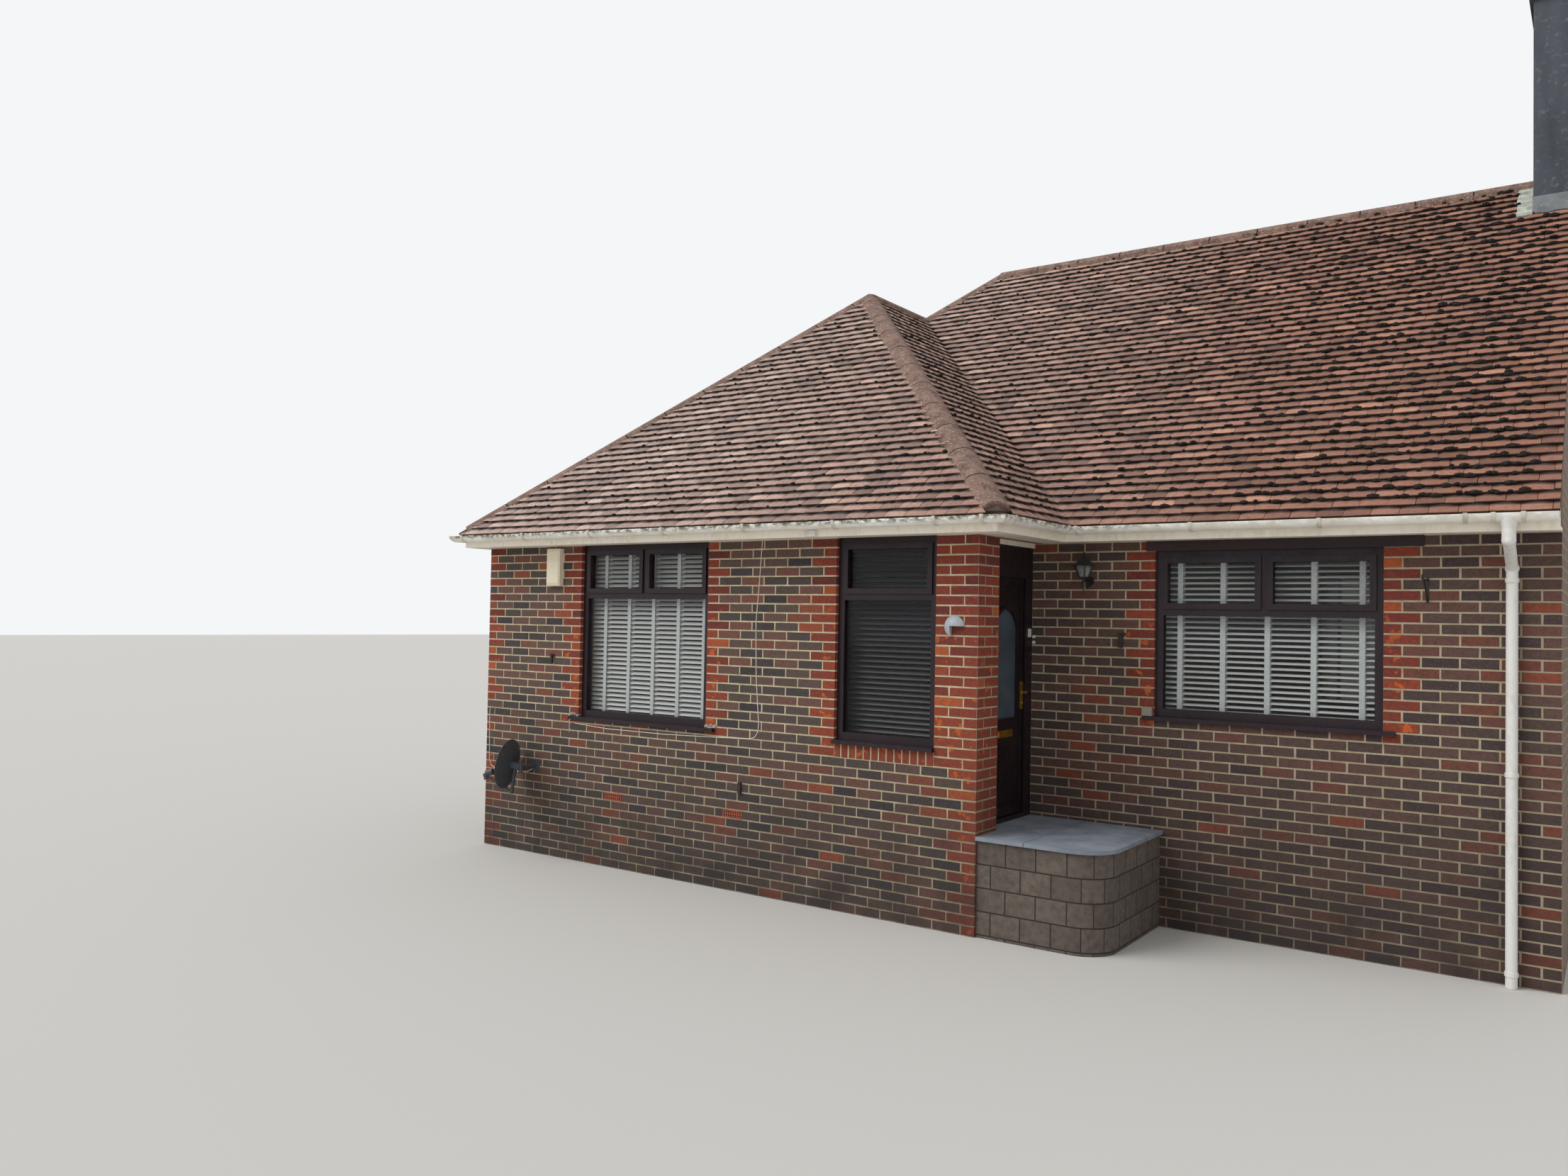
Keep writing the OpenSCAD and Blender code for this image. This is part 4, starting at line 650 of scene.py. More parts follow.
# %% Moss clumps
moss, t, s = finish("dry_moss", "#2b2219", 0.95)  # crumbly and nearly black, with dry straw flecks
paint(s, layer(t, "#150f0d", "#3d321e", 9, 0.5, 0.8))
relief(s, 3, 2.0)
moss_tree, given, out = new_tree("scatter_moss", {"Size": 0.032, "Seed": 5, "Material": moss})
g = moss_tree
clump = add(g, "GeometryNodeMeshIcoSphere", {"Radius": 1.0, "Subdivisions": 1})
scale, turned = [add(g, "GeometryNodeInputNamedAttribute", {"Name": name}, data_type="FLOAT")
                 for name in ("grow", "turn")]
scale = add(g, MATH, scale, given["Size"], operation="MULTIPLY")
squash = add(g, "FunctionNodeRandomValue", {0: (0.7, 0.5, 0.4), 1: (1.4, 1.0, 0.65), "Seed": given["Seed"]},
             data_type="FLOAT_VECTOR")
squash = add(g, VECTORS, {0: squash, "Scale": scale}, operation="SCALE")
facing = add(g, "ShaderNodeCombineXYZ", {2: turned})
scatter(g, given, out, clump, Rotation=facing, Scale=squash)
piece = grow("roof_moss", point_mesh("moss", moss_points, ["turn", "grow"]), moss_tree)
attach(piece, "house")

# %% [markdown]
# The hip and ridge tiles are bedded in mortar that was squeezed out along both edges and has weathered to
# a rough crust. The same tree scatters small lumps along those edges.

# %% Mortar crust along the hips and ridges
CRUST_STOP = MAIN_W - 0.35  # short of the lead beside the stack
CRUST_STEP, CRUST_LIFT = 0.034, 0.018
crust, t, s = finish("weathered_bedding_mortar", "#7d7061", 0.95)  # grey brown, with pale broken spots
colour = layer(t, "#6a5c4f", "#8f8270", 25, 0.4, 0.7)
paint(s, layer(t, colour, "#beb199", 9, 0.6, 0.72, 0.8))
relief(s, 4, 2.0)
rng, bedding = random.Random(77), []
for low, high, first, _ in CAP_LINES:
    start, end = cap_line(low, high, CRUST_STOP)
    level = start.z == end.z
    half = 0.114 if level else 0.112
    drop = half * math.tan(PITCH) * (1.0 if level else math.sqrt(0.5))
    sideways = (end - start).cross(Vector((0, 0, 1))).normalized()
    steps = int((end - start).length / CRUST_STEP)
    for i in range(4 if first > 0 else 1, steps - 2):
        for side in (-1, 1):
            if rng.random() < 0.75:
                spot = start.lerp(end, (i + rng.uniform(-0.4, 0.4)) / steps)
                spot += sideways * side * (half + rng.uniform(-0.006, 0.006))
                spot += Vector((0, 0, CRUST_LIFT - drop))
                bedding.append((HOME @ spot, rng.uniform(0, 6.28), rng.uniform(0.3, 0.72)))
piece = grow("hip_and_ridge_bedding", point_mesh("bedding", bedding, ["turn", "grow"]), moss_tree,
             material=crust)
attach(piece, "house")

# %% [markdown]
# Between one arched tile and the next the mortar joint sits back and is black with soot and moss. The
# packed tiles have a groove there, and a thin arched strip fills its bottom.

# %% Joints between the arched tiles
FLASHING = [Vector(corner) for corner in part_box("chimney_flashing")]
RIDGE_STOP = FLASHING[0].x - HOME_X - 0.0008  # the ridge ends at the lead round the stack
sooty_joint, t, s = finish("sooty_joint_mortar", "#2f2722", 0.95)  # rough and dark, browner where it is dry
paint(s, layer(t, "#241d1a", "#433a2e", 14, 0.4, 0.7))
relief(s, 4, 1.5)
half_arch = math.asin((CAP_W / 2 - CAP_BED) / (CAP_R - CAP_BED))
strip_tree, given, out = new_tree("fill_cap_joints", {
    "Radius": CAP_R - CAP_BED, "From": math.pi / 2 - half_arch, "Sweep": 2 * half_arch, "Depth": 0.005,
    "Width": 0.012, "Material": sooty_joint})
g = strip_tree
arc = add(g, "GeometryNodeCurveArc", {"Resolution": 14, "Radius": given["Radius"],
                                      "Start Angle": given["From"], "Sweep Angle": given["Sweep"]})
edge = add(g, "GeometryNodeCurvePrimitiveQuadrilateral", {"Width": given["Depth"], "Height": given["Width"]})
strip = add(g, "GeometryNodeCurveToMesh", {"Curve": arc, "Profile Curve": edge, "Fill Caps": True})
facing = add(g, "GeometryNodeInputNamedAttribute", {"Name": "facing"}, data_type="FLOAT_VECTOR")
scatter(g, given, out, strip, Rotation=facing)
cap_joints = []
for low, high, first, past in CAP_LINES:
    start, end = cap_line(low, high, RIDGE_STOP)
    ahead = (end - start).normalized()
    up = (Vector((0, 0, 1)) - ahead * ahead.z).normalized()
    facing = Matrix((up.cross(ahead), up, ahead)).transposed().to_euler()
    length = (end - start).length - first + past
    count = max(1, round(length / CAP_LEN))
    for i in range(1, count):
        along = first + i * length / count
        if 0.0 < along < (end - start).length - CAP_W / 2:
            cap_joints.append((HOME @ (start + ahead * along + up * (CAP_RISE - CAP_R)), tuple(facing)))
piece = grow("cap_joint_mortar", point_mesh("cap_joints", cap_joints, [], ["facing"]), strip_tree)
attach(piece, "house")

# %% [markdown]
# Lead is dressed over the tiles along the left side of the stack. It has turned pale with age and takes
# the steps of the courses under it. A plumber beats it down on them, so a strip follows their heights.

# %% Lead beside the stack
LEAD_W, LEAD_FOOT, LEAD_STOP = 0.115, 0.03, 0.095  # width, reach below the stack, stop under the ridge
LEAD_LOW, LEAD_HIGH, LEAD_FALL, LEAD_ROLL = 0.008, 0.036, 0.016, 0.012  # heights over the slope
pale_lead, t, s = finish("weathered_sheet_lead", "#b9beb0", 0.6)  # chalky grey white with darker runs
colour = layer(t, "#ccd0c0", "#979d93", 45, 0.35, 0.7)
paint(s, layer(t, colour, "#6d7069", 10, 0.55, 0.75, 0.6))
relief(s, 14, 1.5)


def lead_strip(mesh, slope, side, foot):
    """A closed strip up one slope of the main roof, stepped with the courses, beside the stack."""
    matrix, _ = board(*SLOPES[slope])
    rng = random.Random(slope)
    ridge = M_HALF / math.cos(PITCH)
    stops = [foot]
    for k in range(int(ridge / GAUGE) + 1):
        tail = k * GAUGE - OVER_GUTTER
        stops += [v for v in (tail - LEAD_ROLL, tail) if v > foot + 0.01]
    stops = [v for v in stops if v < ridge - LEAD_STOP] + [ridge - LEAD_STOP]
    rings = []
    for v in stops:
        share = ((v + OVER_GUTTER + 1e-6) % GAUGE) / GAUGE
        top = LEAD_HIGH - LEAD_FALL * share
        edge = RIDGE_STOP - LEAD_W + rng.uniform(-0.006, 0.006)
        corners = [(edge, LEAD_LOW), (edge, top - 0.003), (edge + 0.01, top), (RIDGE_STOP, top),
                   (RIDGE_STOP, LEAD_LOW)]
        rings.append([mesh.verts.new(matrix @ Vector((side * u, v, h))) for u, h in corners])
    for a, b in zip(rings, rings[1:]):
        for i in range(5):
            mesh.faces.new((a[i], a[(i + 1) % 5], b[(i + 1) % 5], b[i]))
    mesh.faces.new(rings[0])
    mesh.faces.new(rings[-1])


lead = bmesh.new()
lead_strip(lead, "main_front", 1, (FLASHING[0].y - HOME_Y - E_M) / math.cos(PITCH) - LEAD_FOOT)
lead_strip(lead, "main_rear", -1, (E_B - FLASHING[1].y + HOME_Y) / math.cos(PITCH) - LEAD_FOOT)
bmesh.ops.recalc_face_normals(lead, faces=lead.faces[:])
piece = keep_mesh(lead, "stack_side_lead", pale_lead)
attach(piece, "house")

# %% [markdown]
# The horns of the wide window's sill are bedded in pale mortar. It was left rough on top of both ends,
# and some of it ran down the bricks under the left one. The moss tree scatters its small lumps too.

# %% Mortar at the ends of the wide sill
DABS = (  # from and to along the front, from and to under the soffit, how many, least and most size
    (-4.098, -3.995, 1.530, 1.552, 16, 0.30, 0.60), (-2.480, -2.374, 1.526, 1.552, 16, 0.30, 0.60),
    (-4.101, -4.088, 1.500, 1.720, 18, 0.16, 0.34))
pale_mortar, t, s = finish("pale_repair_mortar", "#b5ada0", 0.95)  # greyer and paler than the old joints
paint(s, layer(t, "#bfb8ab", "#8f887c", 16, 0.4, 0.7))
relief(s, 3, 1.5)
rng, dabs = random.Random(12), []
for x0, x1, drop0, drop1, count, low, high in DABS:
    for i in range(count):
        spot = Vector((rng.uniform(x0, x1), -0.004, SOFFIT - rng.uniform(drop0, drop1)))
        dabs.append((HOME @ spot, rng.uniform(0, 0.5), rng.uniform(low, high)))
piece = grow("sill_end_mortar", point_mesh("dabs", dabs, ["turn", "grow"]), moss_tree, material=pale_mortar)
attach(piece, "house")

# %% [markdown]
# ## Blinds
# Venetian blinds hang behind the windows: white ones with wide woven tapes and, in the narrow front
# window, a dark one. Each slat is a shallow curved strip on a point of its own; the tree tilts it. The
# tapes are thin woven bands in front of and behind the slats.

# %% Slats and tapes
def slat_finish(name, colour, shade):
    """Lacquered timber slat: an even satin coat with faint grain along the slat."""
    material, t, s = finish(name, colour, 0.42)
    paint(s, layer(t, colour, shade, 90, 0.3, 0.7, 0.5, stretch=(0.1, 1, 1)))
    relief(s, 60, 0.1, stretch=(0.1, 1, 1))
    return material


white_slat = slat_finish("white_lacquered_slat", "#f4f5f2", "#dfe3e0")
dark_slat = slat_finish("dark_stained_slat", "#383538", "#29272a")
cotton_tape, t, s = finish("woven_cotton_tape", "#d3dad8", 0.9)  # soft matt weave, slightly grey
paint(s, layer(t, "#eef2f0", "#d3dbda", 8, 0.35, 0.65))
relief(s, 2, 0.4)

slat_tree, given, out = new_tree("hang_slats", {
    "Width": 1.3, "Depth": 0.050, "Thickness": 0.0026, "Crown": 0.004, "Tilt": 0.65,
    "Material": white_slat})
g = slat_tree
strip = add(g, "GeometryNodeMeshCube", {"Vertices Y": 5})
part = add(g, "ShaderNodeSeparateXYZ", add(g, "GeometryNodeInputPosition")).node.outputs
x = add(g, MATH, part[0], given["Width"], operation="MULTIPLY")
y = add(g, MATH, part[1], given["Depth"], operation="MULTIPLY")
bow = add(g, MATH, part[1], part[1], operation="MULTIPLY")
bow = add(g, MATH, bow, -4.0, 1.0, operation="MULTIPLY_ADD")
bow = add(g, MATH, bow, given["Crown"], operation="MULTIPLY")
z = add(g, MATH, part[2], given["Thickness"], bow, operation="MULTIPLY_ADD")
shape = add(g, "ShaderNodeCombineXYZ", x, y, z)
strip = add(g, "GeometryNodeSetPosition", {"Geometry": strip, "Position": shape})
tilted = add(g, "ShaderNodeCombineXYZ", given["Tilt"])
scatter(g, given, out, strip, Rotation=tilted)
print("slat tree nodes:", len(g.nodes))

# %% Blinds in the windows
SLAT_PITCH, BLIND_Y = 0.0412, 0.150  # spacing, and depth behind the wall's face
HEAD_RAIL = 0.05  # from the head of the opening to the first slat
TAPE_HALF, TAPE_OUT, TAPE_THICK = 0.019, 0.026, 0.0008  # half width, place, half thickness
RAIL_HALF, SIDE_GAP = 0.028, 0.006


def box_mesh(name, boxes, material):
    """One mesh of plain closed boxes, each from its lowest and highest corner."""
    mesh = bmesh.new()
    for low, high in boxes:
        low, high = Vector(low), Vector(high)
        for v in bmesh.ops.create_cube(mesh, size=1)["verts"]:
            v.co = (low + high) / 2 + v.co * (high - low)
    return keep_mesh(mesh, name, material)


def blind(name, x0, x1, tilt, slat, tapes, turn=0, at=(0, 0), head=0.0, sill=WING_SILL):
    """A blind behind a window, drawn along +X, turned and put on its wall."""
    foot, y = sill - 0.035, BLIND_Y
    place = wall_place(turn, at)
    count = int((foot - head - HEAD_RAIL) / SLAT_PITCH)
    rows = [(((x0 + x1) / 2, y, SOFFIT - head - HEAD_RAIL - (i + 0.5) * SLAT_PITCH),) for i in range(count)]
    piece = grow(name + "_slats", point_mesh(name, rows), slat_tree, width=x1 - x0 - 2 * SIDE_GAP,
                 tilt=math.radians(tilt), material=slat)
    piece.data.transform(place)
    bands = []
    for x in tapes:
        for side in (-1, 1):
            middle = y + side * TAPE_OUT
            bands.append(((x - TAPE_HALF, middle - TAPE_THICK, SOFFIT - foot + 0.02),
                          (x + TAPE_HALF, middle + TAPE_THICK, SOFFIT - head - 0.03)))
    bands.append(((x0 + SIDE_GAP, y - RAIL_HALF, SOFFIT - head - 0.04),
                  (x1 - SIDE_GAP, y + RAIL_HALF, SOFFIT - head - 0.005)))
    tape = box_mesh(name + "_tapes", bands, cotton_tape if slat == white_slat else dark_slat)
    tape.data.transform(place)
    for made in (piece, tape):
        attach(made, "house")


def spaced(first, step):
    """Five tapes from the first one on."""
    return [first + i * step for i in range(5)]


blind("blind_wide", -3.98, -2.494, 33, white_slat, spaced(-3.79, 0.29))
blind("blind_narrow", -1.204, -0.344, 42, dark_slat, [])
blind("blind_main", 0.881, 2.414, 18, white_slat, spaced(1.03, 0.31), 0, (0, WING_OUT), 0.075, MAIN_SILL)
blind("blind_side", 2.865, 3.725, 58, white_slat, [3.02, 3.295, 3.57], *LEFT_WALL)
blind("blind_rear_narrow", 1.677, 2.537, 58, white_slat, [1.83, 2.107, 2.38], *REAR_WALL)
blind("blind_rear_wide", 5.912, 7.398, 58, white_slat, spaced(6.1, 0.29), *REAR_WALL)

# %% [markdown]
# ## Joinery, glass and door
# Frames and sills are hollow plastic sections covered with a dark woodgrain foil: satin, almost black
# brown, with a fine long grain. The door leaf has the same foil, more worn. Panes are clear float glass;
# the arched pane is obscured. Handle and letter plate are polished brass with fingermarks.

# %% Woodgrain foil
def foil(name, base, dark, rough):
    """Printed grain: long streaks up the members, crossed by a slow change of tone."""
    material, t, s = finish(name, base, rough, Specular_IOR_Level=0.35)
    streaks = lumps(t, 14, (1, 1, 0.07), detail=5, rough=0.65)
    colour = layer(t, base, dark, streaks, 0.35, 0.65)
    colour = layer(t, colour, "#44303a", 300, 0.45, 0.8, 0.2)
    paint(s, colour, amount_of(t, 60, 0.3, 0.7, rough + 0.1, rough - 0.06))
    relief(s, streaks, 0.25)
    return material


dress(foil("dark_woodgrain_foil", "#2a1a22", "#190f15", 0.42), "wing_window_frames", "main_window_frame",
      "back_window_frames", "window_sashes", "window_sills", "door_frame")
dress(foil("door_woodgrain_foil", "#20161b", "#110b0f", 0.36), "front_door")

# %% Glass and brass
clear_glass, t, s = finish("float_glass", "#0b1013", 0.03, Alpha=0.12, Specular_IOR_Level=1.0)
paint(s, layer(t, "#0b1013", "#1a242b", 500, 0.3, 0.7))  # dark, a little uneven, very glossy
dress(clear_glass, "window_glass")
lantern_pane, t, s = finish("weathered_lantern_glass", "#8d9494", 0.2, Alpha=0.55)  # dusty and half clear
paint(s, layer(t, "#a3aaa8", "#6d7371", 30, 0.35, 0.7))
dress(lantern_pane, "lantern_glass")
obscured, t, s = finish("obscured_glass", "#5d6a74", 0.28, Specular_IOR_Level=0.8)  # dimpled, so it hides
paint(s, layer(t, "#4d5b67", "#3a4651", 220, 0.3, 0.7))
relief(s, 9, 0.8)
dress(obscured, "door_glass")
brass, t, s = finish("polished_brass", "#e6bb58", 0.30, Metallic=1.0)  # bright, dulled where it is touched
paint(s, layer(t, "#e8be5c", "#b98f40", 60, 0.4, 0.75, 0.5, detail=2),
      amount_of(t, 35, 0.3, 0.7, 0.40, 0.24, detail=2))
dress(brass, "door_handle", "letter_plate")

# %% [markdown]
# ## Eaves, chimney and step
# Fascia, soffit and gutters are white plastic gone cream, with grey and green dirt that runs down from
# the gutter's rim. The stack is rendered in grey cement, streaked by rain. The ridge and hip tiles are
# arched clay bedded in mortar and carry pale lichen. The step is a pale concrete slab on blocks.

# %% Aged white plastic
def aged_white(name, clean, dirt_and_shade, amount, rough=0.38):
    """Sun-yellowed plastic with dirt that clings in streaks."""
    material, t, s = finish(name, clean, rough)
    streaks = add(t, MATH, lumps(t, 420, detail=5, rough=0.7), lumps(t, 36, (1, 1, 0.5), detail=3),
                  operation="ADD")
    paint(s, layer(t, clean, dirt_and_shade, streaks, 0.95, 1.35, amount),
          amount_of(t, streaks, 0.9, 1.3, rough + 0.35, rough))
    relief(s, 40, 0.25)
    return material


dress(aged_white("aged_white_fascia", "#fdf5e6", "#cfc1a4", 0.4), "fascia_boards", "soffit_boards")
dress(aged_white("white_pipe_plastic", "#e6e4de", "#b3b0a5", 0.5), "downpipe")
# Partly painted shade: the brackets are a greyer white with more dirt than the gutter, standing in for the
# shade at their edges.
dress(aged_white("gutter_bracket_plastic", "#dcd5c6", "#8f8a78", 0.6), "gutter_brackets")
dress(aged_white("dusty_cable_sheath", "#e0d8ca", "#b3a894", 0.7), "wall_cables")
clip_white = aged_white("white_moulded_plastic", "#e2dfd5", "#9b978a", 0.4)
dress(clip_white, "small_boxes")
t, s = clip_white.node_tree, clip_white.node_tree.nodes["Principled BSDF"]
by_window = amount_of(t, where(t)[0], HOME_X + 0.60, HOME_X + 0.70)  # the box there is a lump of mortar
paint(s, layer(t, s.inputs["Base Color"].links[0].from_socket, "#8d8577", by_window))

# %% [markdown]
# The gutters collect grey-green grime along the rim, most of it on the wing's front, and stay cleaner
# below. So the grime's noise is multiplied by the height in the gutter and by the place along the front.

# %% Gutter plastic
gutter_white, t, s = finish("weathered_gutter_plastic", "#e8e2d3", 0.4)  # chalky at the rim, satin below
across, _, height = where(t)
rim_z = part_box("gutters")[1][2]
grime = amount_of(t, 30, 0.40, 0.56, stretch=(0.5, 0.5, 1), detail=6, rough=0.7)
for share in (amount_of(t, height, rim_z - 0.042, rim_z - 0.012, 1.0, 0.10),
              amount_of(t, across, HOME_X + 0.3, HOME_X + 1.2, 0.3, 0.95)):
    grime = add(t, MATH, grime, share, operation="MULTIPLY")
colour = layer(t, "#fffcf4", "#f0e8d8", 300, 0.4, 0.7, detail=4)
paint(s, layer(t, colour, "#625f4c", grime), amount_of(t, grime, 0.0, 0.6, 0.75, 0.36))
relief(s, 40, 0.2)
dress(gutter_white, "gutters")

# %% [markdown]
# Render, clay, concrete, timber, plaster and lead differ in the size of their patches, specks and grit, so
# one function makes them all from those sizes in millimetres.

# %% Mineral finishes
def mineral(name, light, dark, speck, patch_mm, speck_mm, speck_amount, grit_mm, relief_mm, rough=0.9,
            stretch=(1, 1, 1)):
    """Slow patches, finer specks and a gritty skin."""
    material, t, s = finish(name, light, rough)
    colour = layer(t, light, dark, patch_mm, 0.35, 0.7, stretch=stretch, detail=5)
    paint(s, layer(t, colour, speck, speck_mm, 0.56, 0.7, speck_amount, detail=4))
    relief(s, grit_mm, relief_mm, detail=5)
    return material


dress(mineral("cement_render", "#565a62", "#3a3e46", "#787b80", 260, 45, 0.5, 8, 2.5,
              stretch=(1, 1, 0.25)), "chimney_stack")
dress(mineral("arched_cap_clay", "#94766a", "#634b40", "#c0b09c", 90, 18, 0.8, 12, 4.0),
      "ridge_tiles", "hip_tiles")
dress(mineral("fired_chimney_pot", "#a8674a", "#7d4c39", "#5a4a40", 120, 30, 0.5, 6, 1.0), "chimney_pot")
dress(mineral("unglazed_air_brick", "#a3503b", "#85402f", "#5b4037", 60, 14, 0.4, 5, 0.8), "air_bricks")
dress(mineral("clay_under_course", "#5a443a", "#43322b", "#2c2320", 70, 20, 0.6, 10, 1.0),
      "wing_front_slope", "wing_right_slope", "wing_left_slope", "main_front_slope", "main_left_slope",
      "main_rear_slope")
dress(mineral("weathered_lintel_board", "#362224", "#21161a", "#4a3a3a", 160, 20, 0.4, 12, 0.6, 0.7,
              (0.15, 1, 1)), "main_window_lintel")
dress(mineral("sawn_softwood", "#a58c66", "#8a7150", "#6f5a40", 60, 20, 0.4, 12, 0.5, 0.75,
              (0.1, 1, 1)), "wall_heads", "floor")
dress(mineral("skimmed_plaster", "#e4e0d6", "#d6d1c5", "#c8c2b4", 400, 60, 0.3, 20, 0.4, 0.85), "ceiling")
dress(mineral("lead_sheet", "#868b8c", "#686d71", "#aeb4af", 120, 30, 0.4, 14, 0.8, 0.55),
      "chimney_flashing")

# %% The step's slab, with the joint between its two halves
SLAB_JOINT = HOME_X + 0.365
slab = mineral("pale_concrete_slab", "#8d949e", "#727984", "#5d6168", 180, 12, 0.35, 5, 0.6, 0.8)
dress(slab, "doorstep_slab", "doorway_base_wall")
t, s = slab.node_tree, slab.node_tree.nodes["Principled BSDF"]
gap = add(t, MATH, where(t)[0], SLAB_JOINT, operation="SUBTRACT")
gap = amount_of(t, add(t, MATH, gap, operation="ABSOLUTE"), 0.002, 0.0035, 0.0, 1.0)
paint(s, layer(t, s.inputs["Base Color"].links[0].from_socket, "#3c3e43", gap))

# %% Blocks with joints, and the plain party wall
def coursed(name, colours, mortar_colour, width, height, joint, face_colour=None, start=(0, 0)):
    """Courses drawn as a pattern, for upright faces that are plain brick or block: the units stay flat.
    A face colour covers the sides that don't look along +X, where laid bricks stand in front."""
    material, t, s = finish(name, colours[0], 0.92)
    at = where(t)
    along = add(t, MATH, at[0], at[1], operation="ADD")  # runs on round a corner
    place = add(t, "ShaderNodeCombineXYZ", along, at[2])
    place = add(t, VECTORS, place, (*start, 0), operation="SUBTRACT")
    links = {"Vector": place, "Color1": colours[0], "Color2": colours[1], "Mortar": mortar_colour,
             "Scale": 1.0, "Mortar Size": joint, "Brick Width": width, "Row Height": height}
    course = add(t, "ShaderNodeTexBrick", links).node.outputs
    colour = layer(t, course[0], "#3c332d", 45, 0.4, 0.7, 0.55, detail=5)
    if face_colour:
        normal = add(t, "ShaderNodeNewGeometry", out="True Normal")
        faces = add(t, "ShaderNodeSeparateXYZ", normal)
        colour = layer(t, face_colour, colour, faces, 0.4, 0.6)
    paint(s, colour)
    relief(s, add(t, MATH, lumps(t, 8), course[1], operation="SUBTRACT"), 2.0)
    return material


BRICK_L, BLOCK_L, BLOCK_H = 0.229, 0.225, 0.165
dress(coursed("common_brick", ("#7d675a", "#8e7768"), "#a39880", BRICK_L, COURSE, 0.006, "#a3957d"),
      "party_wall")
low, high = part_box("doorstep_base")
dress(coursed("riven_edging_block", ("#5e544c", "#6e635a"), "#2c2622", BLOCK_L, BLOCK_H, 0.005,
              start=(low[0] + low[1], high[2])), "doorstep_base")

# %% [markdown]
# ## Small fixtures
# The coach lantern and the basket bracket are black painted iron, the dish is dark powder-coated steel,
# the half-moon light is pale grey painted metal and the alarm box is cream plastic, left bare.

# %% Dark openings behind the air bricks
AIR_BRICK_L, RIM = 0.200, 0.004
low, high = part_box("air_bricks")
holes = [((x + RIM, low[1] + 0.002, low[2] + RIM), (x + AIR_BRICK_L - RIM, high[1] - 0.0005, high[2] - RIM))
         for x in (low[0], high[0] - AIR_BRICK_L)]
# Painted shade: dark boxes behind the air bricks' slots stand for the shade inside them.
slot_shade, t, s = finish("sooty_clay_opening", "#17110f", 0.95)  # the unlit inside of the clay slots
paint(s, layer(t, "#17110f", "#2b201c", 8, 0.4, 0.7))
piece = box_mesh("air_brick_openings", holes, slot_shade)
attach(piece, "house")

# %% Painted metals and cream plastic
def painted(name, coat, worn, rough, amount=0.5):
    """A coat of paint with chalky patches."""
    material, t, s = finish(name, coat, rough)
    paint(s, layer(t, coat, worn, 22, 0.5, 0.75, amount, detail=5),
          amount_of(t, 30, 0.3, 0.7, rough + 0.2, rough))
    relief(s, 10, 0.3)
    return material


dress(painted("black_painted_iron", "#17171a", "#3a302b", 0.35), "wall_lantern", "basket_bracket")
dress(painted("rusted_fixing", "#2e2521", "#5a3a2a", 0.7, 0.8), "bracket_remains")
dress(painted("grey_coated_metal", "#aab2ba", "#828a92", 0.35), "crescent_light")
dress(painted("dark_coated_steel", "#45484d", "#5c6064", 0.4), "dish_aerial")
dress(painted("cream_moulded_plastic", "#f2e8cf", "#dccfb0", 0.42), "alarm_box")

# %% [markdown]
# ## Camera, floor and light
# The camera stands where the picture was taken, worked out from the brick courses. The floor is plain
# and pale. Light is a soft even sky with one very broad sun from the front left, kept low enough that a
# colour renders about as it is written.

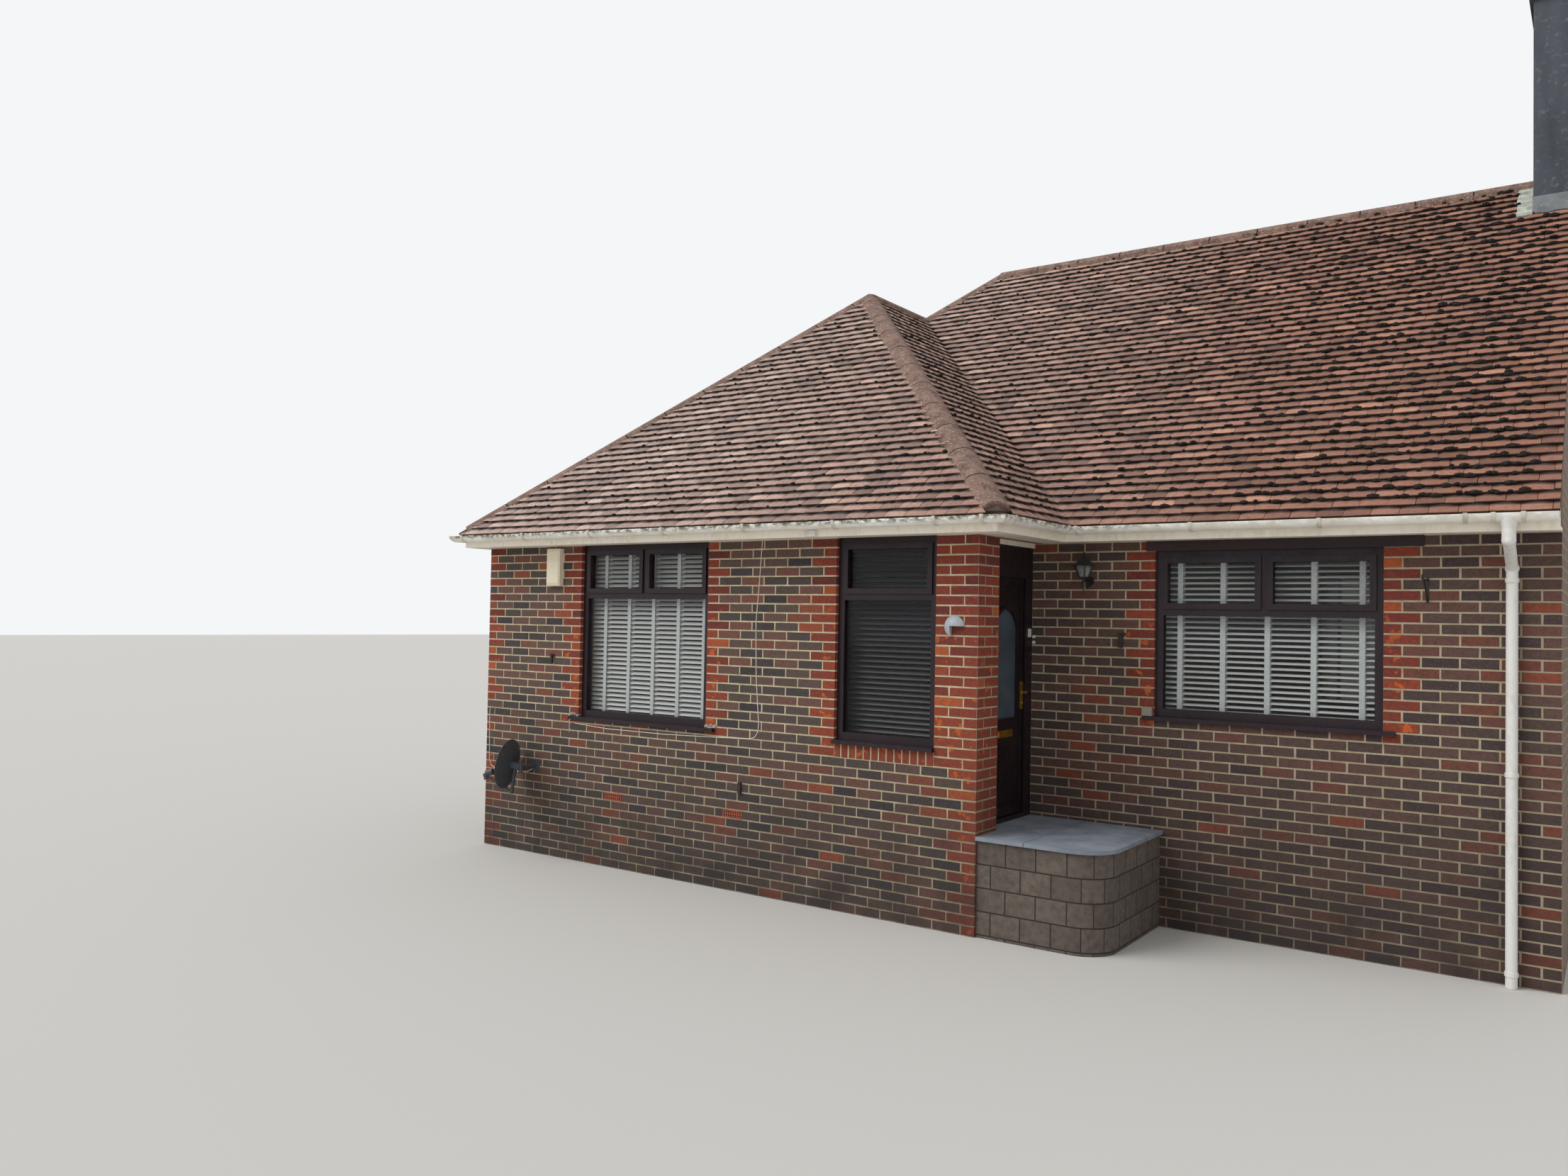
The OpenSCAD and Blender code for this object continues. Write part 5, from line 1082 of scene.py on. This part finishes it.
# %% Camera
EYE = Vector((3.7227, -7.5315, SOFFIT - 0.6273))
YAW, TILT_UP, ROLL = (math.radians(a) for a in (35.7919, 1.4837, 1.0388))
FOCAL, PHOTO_W, SENSOR = 1641.987, 2212, 36  # focal length and width in the picture's pixels, width in mm
ahead = Vector((-math.sin(YAW) * math.cos(TILT_UP), math.cos(YAW) * math.cos(TILT_UP), math.sin(TILT_UP)))
right = Vector((math.cos(YAW), math.sin(YAW), 0))
above = right.cross(ahead)
side = math.cos(ROLL) * right + math.sin(ROLL) * above
top = -math.sin(ROLL) * right + math.cos(ROLL) * above
turned = Matrix([(side[i], top[i], -ahead[i]) for i in range(3)]).to_4x4()
camera = bpy.data.objects.new("camera", bpy.data.cameras.new("camera"))
camera.matrix_world = Matrix.Translation(HOME @ EYE) @ turned
camera.data.sensor_width = SENSOR
camera.data.lens = SENSOR * FOCAL / PHOTO_W
camera.data.clip_end = 300
bpy.context.scene.collection.objects.link(camera)
bpy.context.scene.camera = camera
print("camera at", [round(v, 3) for v in HOME @ EYE], "lens", round(camera.data.lens, 2))

# %% Floor
FLOOR_HALF, FLOOR_Z = 90, -0.002
ground, t, s = finish("pale_floor", "#cfccc6", 0.9)
corners = [(x * FLOOR_HALF, y * FLOOR_HALF, FLOOR_Z) for x, y in ((-1, -1), (1, -1), (1, 1), (-1, 1))]
floor = bpy.data.meshes.new("studio_floor")
floor.from_pydata(corners, [], [(0, 1, 2, 3)])
floor.materials.append(ground)
floor = bpy.data.objects.new("studio_floor", floor)
bpy.context.scene.collection.objects.link(floor)

# %% Light
sky = bpy.data.worlds.new("soft_sky")
sky.use_nodes = True
t = sky.node_tree
path = add(t, "ShaderNodeLightPath").node.outputs
seen = path["Is Camera Ray"]
for ray in ("Is Transmission Ray", "Is Glossy Ray"):
    seen = add(t, MATH, seen, path[ray], operation="MAXIMUM")
soft = t.nodes["Background"]
soft.inputs[0].default_value = linear("#f2f4f7")
soft.inputs[1].default_value = 0.70
shown = add(t, "ShaderNodeBackground", "#f4f6f8", 1.0)
both = add(t, "ShaderNodeMixShader", seen, soft.outputs[0], shown)
t.links.new(both, t.nodes["World Output"].inputs[0])
bpy.context.scene.world = sky
sun = bpy.data.lights.new("broad_sun", "SUN")
sun.energy, sun.angle = 1.6, math.radians(40)
sun = bpy.data.objects.new("broad_sun", sun)
sun.rotation_euler = (-Vector((-0.50, -0.52, 0.66))).to_track_quat("-Z", "Y").to_euler()
bpy.context.scene.collection.objects.link(sun)
bpy.context.scene.view_settings.view_transform = "Standard"
